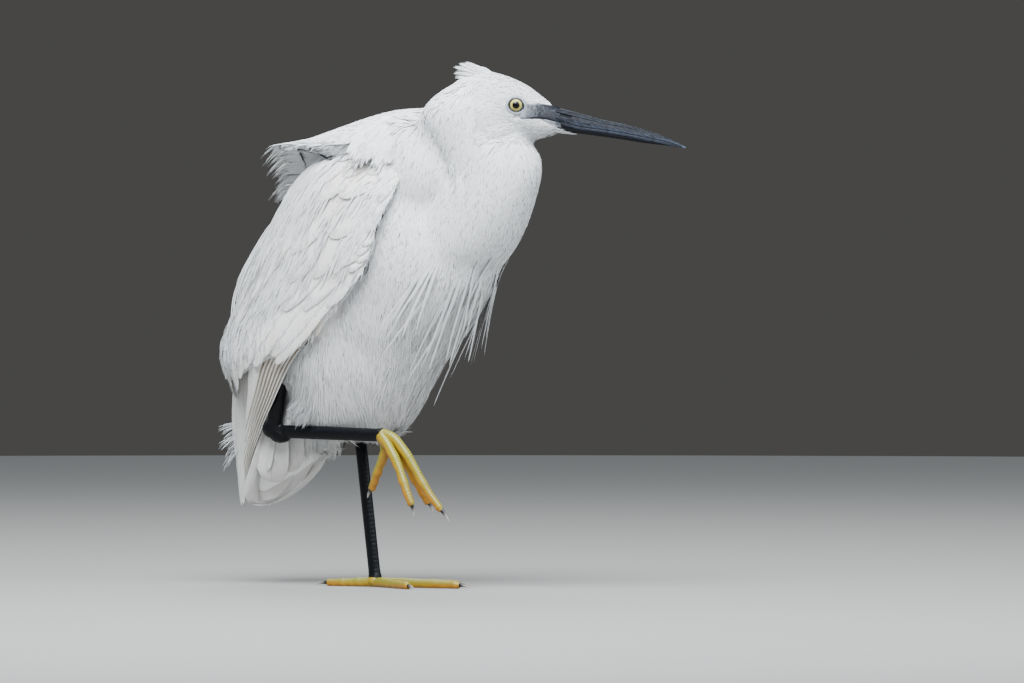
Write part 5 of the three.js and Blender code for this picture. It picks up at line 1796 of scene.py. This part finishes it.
bill_look, bill_tree, bill_shader = mottled_look(
    "bill_horn", (0.085, 0.108, 0.16), (0.0015, 0.0022, 0.0045), 0.34, 6.0, 1.25, 0.1, "run",
    Specular_IOR_Level=0.2,
)
bill_fine = noise(bill_tree, object_place(bill_tree), 2600.0, 2.0)
bill_rough = stretch_to(bill_tree, bill_fine, 0.3, 0.7, 0.45, 0.65)
bill_tree.links.new(bill_rough, bill_shader.inputs["Roughness"])


def bill_half(upper):
    """Rings of one half of the bill with its groove, nostril and edge, and their darkness."""
    reach = 101 + 90 * np.linspace(0, 1, BILL_ROWS) ** 1.25
    row = station_for(BILL_STATIONS, reach)[:, None, :]
    reach = reach[:, None]
    arc = np.linspace(0, math.pi, BILL_ARC)[None, :]
    gap = 0.12 if upper else -0.12
    base = row[..., 2] + gap
    rise = row[..., 1] - base if upper else row[..., 3] - base
    rise = np.maximum(rise, 0.2) if upper else np.minimum(rise, -0.2)
    shape = np.abs(np.cos(arc)) ** (0.92 if upper else 0.85)
    height = base + np.sin(arc) * rise
    aside = np.sign(np.cos(arc)) * shape * row[..., 4]
    fade = 1 - smoothstep(reach, 150, 176)
    groove = 0.34 * np.exp(-((np.abs(np.cos(arc)) - (0.8 if upper else 0.88)) / 0.07) ** 2) * fade
    edge = 0.14 * np.exp(-(np.sin(arc) / 0.1) ** 2)
    sink = groove * smoothstep(reach, 104, 116) + edge
    if upper:
        share = np.clip((reach - NOSTRIL_START[0]) / (NOSTRIL_END[0] - NOSTRIL_START[0]), 0, 1)
        middle = NOSTRIL_START[1] + (NOSTRIL_END[1] - NOSTRIL_START[1]) * share
        beyond = np.maximum(np.maximum(NOSTRIL_START[0] - reach, reach - NOSTRIL_END[0]), 0)
        slit = np.exp(-((height - middle) / 0.5) ** 2 - (beyond / 0.6) ** 2)
        sink = sink + slit
    aside = aside - np.sign(aside) * np.minimum(sink, np.abs(aside) * 0.7)
    under_aside = np.linspace(-1, 1, 14)[None, 1:-1] * row[..., 4] * 0.97
    under_height = np.broadcast_to(base, under_aside.shape)
    ring_aside = np.concatenate([aside, under_aside], axis=1)
    ring_height = np.concatenate([height, under_height], axis=1)
    rings = head_point(np.broadcast_to(reach, ring_aside.shape), ring_aside, ring_height)
    round_it = np.concatenate([arc * row[..., 4], 0 * under_aside], axis=1)
    worn = 0.97 - 1.1 * smoothstep(reach, 187, 191.5) + 0 * ring_aside
    # The culmen's top line is painted a little lighter: painted highlight.
    ridge = np.exp(-(np.abs(ring_aside) / 0.7) ** 2) if upper else 0
    base_pale = 0.2 * (1 - smoothstep(reach, 103, 113))
    streak = 0.22 * np.exp(-((np.abs(ring_height - base) - 0.9) / 0.8) ** 2) * smoothstep(reach, 112, 124)
    foot = 0 if upper else 0.45 * smoothstep(base - ring_height, 1.4, 2.6)
    darkness = worn - 0.05 * ridge - base_pale - streak + foot
    if upper:
        darkness[:, :BILL_ARC] += 0.7 * slit
    run = np.stack([round_it / 2.2, reach / 22 + 0 * round_it], axis=-1).reshape(-1, 2)
    return rings, darkness, np.concatenate([run, run[[0, -1]]])


for name, upper in (("bill_top", True), ("bill_bottom", False)):
    rings, darkness, run = bill_half(upper)
    bill_mesh = make_mesh(name, *lofted(rings), bill_look)
    mark(bill_mesh, darkness=np.concatenate([darkness.ravel(), [0.9, 0]]))
    lay_map(bill_mesh, "run", run)
    make_piece(name, bill_mesh, ["bill_upper" if upper else "bill_lower"])


# Crest: a tuft of short loose plumes at the back of the crown, blown up at their ends.
# They stand in rows across the head and close in on one another toward their tips.
CREST_PLUMES = [
    # root and tip of a plume: distance along the bill's direction and height
    (71, 322, 53, 327.2), (69, 322, 50.5, 326.4), (66, 322, 47.4, 324.4), (64, 321.8, 49.6, 323),
    (62, 321.4, 47.6, 320.8), (60, 320.8, 50, 319.6), (58, 320, 48.6, 318), (56, 319, 51, 316.6),
    (67.5, 322, 52, 325.4), (61, 321, 49, 321.8),
]
CREST_ROWS = (-3.6, -2.2, -1.0, 0.0, 1.0, 2.2, 3.6)
CREST_STEPS = 7

crest_rng = np.random.default_rng(31)
crest_path, crest_faces = [], []
for row, aside in enumerate(CREST_ROWS):
    for i, (root_reach, root_height, tip_reach, tip_height) in enumerate(CREST_PLUMES):
        start = head_point(root_reach + vary(i, row), aside * 1.2, root_height)
        start = skin_ground.nearest(start[None, :])[0][0]
        tip = head_point(
            tip_reach + 1.4 * vary(i, row, 3), aside * 0.45 + 0.5 * vary(i, 5, row),
            tip_height + 0.7 * vary(row, 8, i),
        )
        crest_path.append(bent(start, (start + tip) / 2 - UP * 0.3, tip, CREST_STEPS + 1))
        face = unit(UP * 0.45 + HEAD_ASIDE * np.sign(aside))
        crest_faces.append(np.broadcast_to(face, (CREST_STEPS + 1, 3)))
crest_path, crest_faces = np.stack(crest_path, axis=1), np.stack(crest_faces, axis=1)
strand_pieces(
    "crest", coat_look, crest_path, crest_faces, 11, 1.5, 0.55, 0.2, unwrap(crest_path[0]), crest_rng,
    gather=0.45, loose=True,
)


# Breast plumes: long narrow ribbons rooted on the lower breast that hang down over the
# belly, their ends apart.
def plume_bears(points, facing):
    x, y, z = points.T
    picture = x * PICTURE_FORWARD - np.abs(y) * PICTURE_LEFT
    band = (picture > 24) * (picture < 82) * (z > 182) * (z < 214)
    return band * (headness(points) < 0.5)


plume_rng = np.random.default_rng(32)
plume_amount = skin_ground.areas * plume_bears(skin_ground.centres, skin_ground.facing) / 95
plume_roots = skin_ground.sown(plume_amount, plume_rng)
plume_place, plume_facing = skin_ground.nearest(plume_roots)
plume_count = len(plume_roots)
plume_way = unit(
    lie(plume_place, plume_facing) - FORWARD * 0.5 + 0.07 * plume_rng.normal(0, 1, (plume_count, 3))
)
front = 1 - smoothstep(around_body(plume_place), 8, 40)
plume_length = (54 + 18 * front) * plume_rng.uniform(0.75, 1.15, plume_count)
plume_path, plume_faces = draped_paths(
    skin_ground, plume_roots, plume_way, plume_length, 16, plume_rng.uniform(0.0, 0.05, plume_count), 1.6,
)
strand_pieces(
    "breast_plumes", coat_look, plume_path, plume_faces, 3, 0.7, 1.15, 0.9, unwrap(plume_place), plume_rng,
    gather=0.6,
)


# Legs: bare black shins and heels. Broad plates overlap down the front of a shin and a
# net of small scales covers the rest. Both legs are tapered tubes with those plates raised.
SCUTE_LENGTH = 2.7
NET_SIZE = 2.0

leg_look = mottled_look(
    "leg_black", (0.008, 0.009, 0.012), (0.0006, 0.0007, 0.001), 0.4, 420.0, 0.8, 0.12,
    Specular_IOR_Level=0.15,
)[0]


def limb(path, sizes, hint, rows, sides):
    """Rings round a smooth path; sizes gives the half depth and half width at each share
    of it and hint points to its front."""
    path, hint = np.asarray(path, float), np.asarray(hint, float)
    steps = np.concatenate([[0], np.cumsum(np.linalg.norm(np.diff(path, axis=0), axis=1))])
    share = np.linspace(0, 1, rows)
    line = station_at(path, np.interp(share * steps[-1], steps, np.arange(len(path))))
    tangent = unit(np.gradient(line, axis=0))
    front = unit(hint - tangent * (tangent @ hint)[:, None])[:, None, :]
    side = np.cross(tangent[:, None, :], front)
    angle = full_turn(sides)[None, :]
    depth, width = sizes(share[:, None], angle)
    deep, wide = (np.cos(angle) * depth)[..., None], (np.sin(angle) * width)[..., None]
    return line[:, None, :] + front * deep + side * wide


def plates(along, angle, length, half_arc):
    """Height of overlapping plates across the front of a limb, 0 to 1, and their gaps."""
    turn = np.abs(np.arctan2(np.sin(angle), np.cos(angle)))
    front = 1 - smoothstep(turn, half_arc - 0.25, half_arc + 0.1)
    phase = along / length + 0.06 * np.cos(angle * 2)
    step = phase - np.floor(phase)
    gaps = front * np.exp(-(np.minimum(step, 1 - step) / 0.14) ** 2)
    return front * smoothstep(step, 0, 0.22) * (1 - 0.35 * step), gaps


def net(along, around, size):
    """Height of a net of small six-sided scales, 0 to 1."""
    u, v = along / size, around / size
    wave = np.cos(2 * math.pi * v) + 2 * np.cos(math.pi * v) * np.cos(math.pi * u * 1.732)
    return smoothstep(wave, -1.2, 1.4)


def shin_sizes(share, angle):
    heel = np.maximum(0, 1 - share / 0.16) ** 1.5
    toe = np.maximum(0, 1 - (1 - share) / 0.12) ** 2
    return 4.1 + heel * 1.6 + toe * 0.6, 2.75 + heel * 1.6 + toe * 1.2


def shank_sizes(share, angle):
    swell = smoothstep(share, 0.35, 1.0)
    return 3.7 + 1.9 * swell, 3.6 + 0.9 * swell


def relief(points, start, end, front):
    """Height of the plates down a shin's front and of the net of scales round it."""
    axis = unit(end - start)
    away = points - start
    along = away @ axis
    away = away - along[:, None] * axis
    front = unit(front - axis * (front @ axis))
    angle = np.arctan2(away @ np.cross(axis, front), away @ front)
    raised, _ = plates(along, angle, SCUTE_LENGTH, 1.15)
    small = net(along, angle * 3.4, NET_SIZE) * (np.abs(angle) > 1.1)
    joint = smoothstep(along, 7, 13)
    heel = net(points[:, 2], points[:, 0] + points[:, 1], NET_SIZE)
    return (0.26 * raised + 0.15 * small) * joint + 0.15 * heel * (1 - joint)


def globe(centre, radii):
    """Rings of a rounded form."""
    bend = np.linspace(0.03, math.pi - 0.03, 26)[:, None]
    turn = full_turn(36)[None, :]
    return np.stack(np.broadcast_arrays(
        np.sin(bend) * np.cos(turn), np.sin(bend) * np.sin(turn), np.cos(bend),
    ), axis=-1) * radii + centre


def leg_piece(name, forms, start, end, front, replaced):
    mesh = fused_mesh(name, forms, 0.5, 5, leg_look)
    raised = relief(mesh_points(mesh)[0], start, end, np.asarray(front, float))
    raise_points(mesh, raised - 0.1)
    mark(mesh, darkness=0.85 - 1.2 * raised)
    make_piece(name, mesh, replaced)


RIGHT_HOCK = np.array((-62.0, -27.0, 97.0))
RIGHT_TOE_JOINT = np.array((27.0, -34.0, 95.8))
LEFT_HOCK = np.array((-22.0, 8.0, 106.0))
LEFT_TOE_JOINT = np.array((-3.0, 0.0, 4.6))
SHANK_PATH = [(-50.5, -31.5, 136), (-56, -29.5, 117), (-61.5, -27.3, 100)]
right_leg = [
    limb([RIGHT_HOCK, RIGHT_TOE_JOINT], shin_sizes, (0, 0, 1), 120, 48),
    limb(SHANK_PATH, shank_sizes, (-1, 0, -0.3), 60, 48),
    globe((-62.6, -27, 98.6), (7.4, 5.0, 6.2)),
    globe((-56.5, -27, 94.6), (8, 4.6, 5.0)),
]
leg_piece(
    "leg_right", right_leg, RIGHT_HOCK, RIGHT_TOE_JOINT, (0, 0, 1), ["tarsus_right", "shank_right"],
)
left_leg = [limb([LEFT_HOCK, LEFT_TOE_JOINT], shin_sizes, (1, 0, 0.2), 120, 48)]
leg_piece("leg_left", left_leg, LEFT_HOCK, LEFT_TOE_JOINT, (1, 0, 0.2), ["tarsus_left"])


# Feet: long toes, lemon yellow with a green tinge above and orange below and at the ends.
# Narrow plates with dark seams cross the top of a toe, soft pads swell under it. The plates'
# raised tops are paler green: partly that tinge, partly painted highlight.
RIGHT_TOES = {
    # points a toe runs through and the tip of its claw
    "outer": (
        [(27, -35, 95.5), (33.5, -37, 89.5), (42, -39, 78), (51, -41.5, 61), (54.5, -42, 54)],
        (57, -42.3, 46),
    ),
    "middle": (
        [(27, -34, 96.5), (36.3, -34.2, 93.5), (46.9, -34, 82), (59.5, -33.5, 63.5), (70, -33, 51)],
        (77, -33, 43),
    ),
    "inner": ([(27, -33, 95), (36, -30.5, 87), (46, -27, 70), (54, -24, 55)], (58, -23, 48)),
    "hind": ([(27, -34, 95), (27.5, -32, 86), (21, -30, 74), (15, -28, 63)], (10.5, -27, 56.5)),
}
LEFT_TOES = {
    "outer": ([(-3, 0, 2.6), (6, 5, 2.6), (24, 15, 2.2), (42, 24, 2)], (50.5, 28.5, 0.9)),
    "middle": ([(-3, 0, 2.6), (10, 0.6, 2.6), (32, 1.8, 2.2), (57, 3, 2)], (67, 3.5, 0.9)),
    "inner": ([(-3, 0, 2.6), (6, -4.6, 2.6), (22, -13.5, 2.2), (37, -22, 2)], (45.5, -26.5, 0.9)),
    "hind": ([(-3, 0, 2.6), (-10, -1.4, 2.6), (-22, -3.4, 2.2), (-34, -5.4, 2)], (-43.5, -7, 0.9)),
}
TOE_RADIUS = 2.95
TOE_PLATE = 1.35
TOE_SIDES = 44
SOLE = 0.02
CLAW_ROWS = 40
CLAW_SIDES = 16
RIGHT_HINTS = {"hind": (-1, 0, 0.3), "inner": (0.5, 0.7, 0.5)}
JOINTS = (0.0, 0.36, 0.68, 1.0)

toe_look, toe_tree, toe_shader = new_look(
    "toe_yellow", Roughness=0.42, Subsurface_Weight=0.12, Subsurface_Radius=(0.002, 0.001, 0.0004),
)
toe_spot = noise(toe_tree, object_place(toe_tree), 300.0, 4.0)
toe_orange = reckon(toe_tree, "SUBTRACT", point_value(toe_tree, "orange"), 0.25)
toe_share = reckon(toe_tree, "MULTIPLY_ADD", toe_spot, 0.5, toe_orange)
toe_warm = mixed(toe_tree, toe_share, (0.27, 0.21, 0.003, 1), (0.33, 0.14, 0.0006, 1))
# paler green on the plates' raised tops: partly the toe's tinge, partly painted highlight
toe_pale = mixed(toe_tree, point_value(toe_tree, "plate"), toe_warm, (0.25, 0.25, 0.03, 1))
toe_seam = mixed(toe_tree, point_value(toe_tree, "seam"), toe_pale, (0.008, 0.006, 0.002, 1))
dress(toe_tree, toe_shader, toe_seam, toe_spot, 0.2, 0.0002)


def toe(path, hint, floor):
    """One toe with its plates, joints and pads, closed and rounded at its end."""
    path = np.asarray(path, float)
    end = unit(path[-1] - path[-2])
    path = np.concatenate([path, [path[-1] + end * 1.6]])
    length = np.linalg.norm(np.diff(path, axis=0), axis=1).sum()
    rows = int(length / 0.3)
    marks = {}

    def sizes(share, angle):
        base = TOE_RADIUS * (1.22 - 0.44 * np.sqrt(share))
        knuckle = sum(np.exp(-((share - joint) / 0.055) ** 2) for joint in JOINTS[1:3])
        raised, gaps = plates(share * length, angle, TOE_PLATE, 1.35)
        under = np.maximum(-np.cos(angle), 0)
        pads = under * (0.5 * np.sin(share * math.pi * 5.5) ** 2 - 0.1)
        more = 0.2 * raised + pads + 0.32 * knuckle
        close = np.sqrt(np.maximum(1 - smoothstep(share, 0.94, 1.0) ** 2, 0.002))
        below, end_share = smoothstep(-np.cos(angle), -0.5, 0.6), smoothstep(share, 0.45, 1.0)
        marks.update(
            seam=gaps * (1 - smoothstep(share, 0.93, 0.97)),
            # plate: raised, upward-facing plate tops, paler as tinge and painted highlight
            plate=0.75 * raised * smoothstep(np.cos(angle), -0.2, 0.6),
            orange=np.clip(0.75 * below + 0.75 * end_share, 0, 1.1),
        )
        width = base * 0.92 + more
        return (base + more) * close, width * close

    rings = limb(path, sizes, hint, rows, TOE_SIDES)
    if floor:
        rings[..., 2] = np.maximum(rings[..., 2], SOLE)
    values = [np.broadcast_to(marks[key], rings.shape[:2]).ravel() for key in ("seam", "plate", "orange")]
    return *lofted(rings), np.concatenate([np.stack(values, axis=-1), [[0, 0, 0.3], [0, 0, 1]]])


def ball(centre, radii):
    """Rounded pad where the toes meet."""
    points, quads, caps = lofted(globe(centre, radii))
    points[:, 2] = np.maximum(points[:, 2], SOLE)
    return points, quads, caps, np.broadcast_to((0.0, 0.0, 0.25), (len(points), 3))


claw_look = mottled_look("claw_horn", (0.3, 0.27, 0.25), (0.004, 0.0035, 0.0035), 0.3, 500.0, 0.5, 0.1)[0]


def claw_sizes(share, angle):
    return 1.45 * (1 - share) ** 0.8 + 0.16, 1.05 * (1 - share) ** 0.8 + 0.14


def claw(path, tip, hint):
    """Curved claw, black at its root and pale at its point."""
    before, root, tip = (np.asarray(point, float) for point in (*path[-2:], tip))
    start = root + unit(before - root) * 0.6
    line = bent(start, (start + tip) / 2 + np.asarray(hint) * 1.1, tip, 16)
    rings = limb(line, claw_sizes, hint, CLAW_ROWS, CLAW_SIDES)
    rings[..., 2] = np.maximum(rings[..., 2], SOLE)
    share = np.repeat(np.linspace(0, 1, CLAW_ROWS), CLAW_SIDES)
    return *lofted(rings), np.concatenate([1.1 - 1.1 * smoothstep(share, 0.25, 0.85), [1, 0]])


for side_name, toes, floor, centre, radii in (
    ("right", RIGHT_TOES, False, (27.6, -34, 94.6), (4.4, 4.2, 4.6)),
    ("left", LEFT_TOES, True, (-3, 0, 3.4), (5.2, 4.6, 3.9)),
):
    hints = {which: ((0, 0, 1) if floor else RIGHT_HINTS.get(which, (0.8, 0, 0.6))) for which in toes}
    foot = [toe(path, hints[which], floor) for which, (path, _) in toes.items()] + [ball(centre, radii)]
    *form, values = joined(foot)
    foot_mesh = make_mesh(f"toes_{side_name}", *form, toe_look)
    mark(foot_mesh, seam=values[:, 0], plate=values[:, 1], orange=values[:, 2])
    make_piece(foot_mesh.name, foot_mesh, [f"foot_{side_name}"])
    *form, values = joined([claw(path, tip, hints[which]) for which, (path, tip) in toes.items()])
    claw_mesh = make_mesh(f"claws_{side_name}", *form, claw_look)
    mark(claw_mesh, darkness=values)
    make_piece(claw_mesh.name, claw_mesh, [f"claw_{side_name}_{which}" for which in toes])
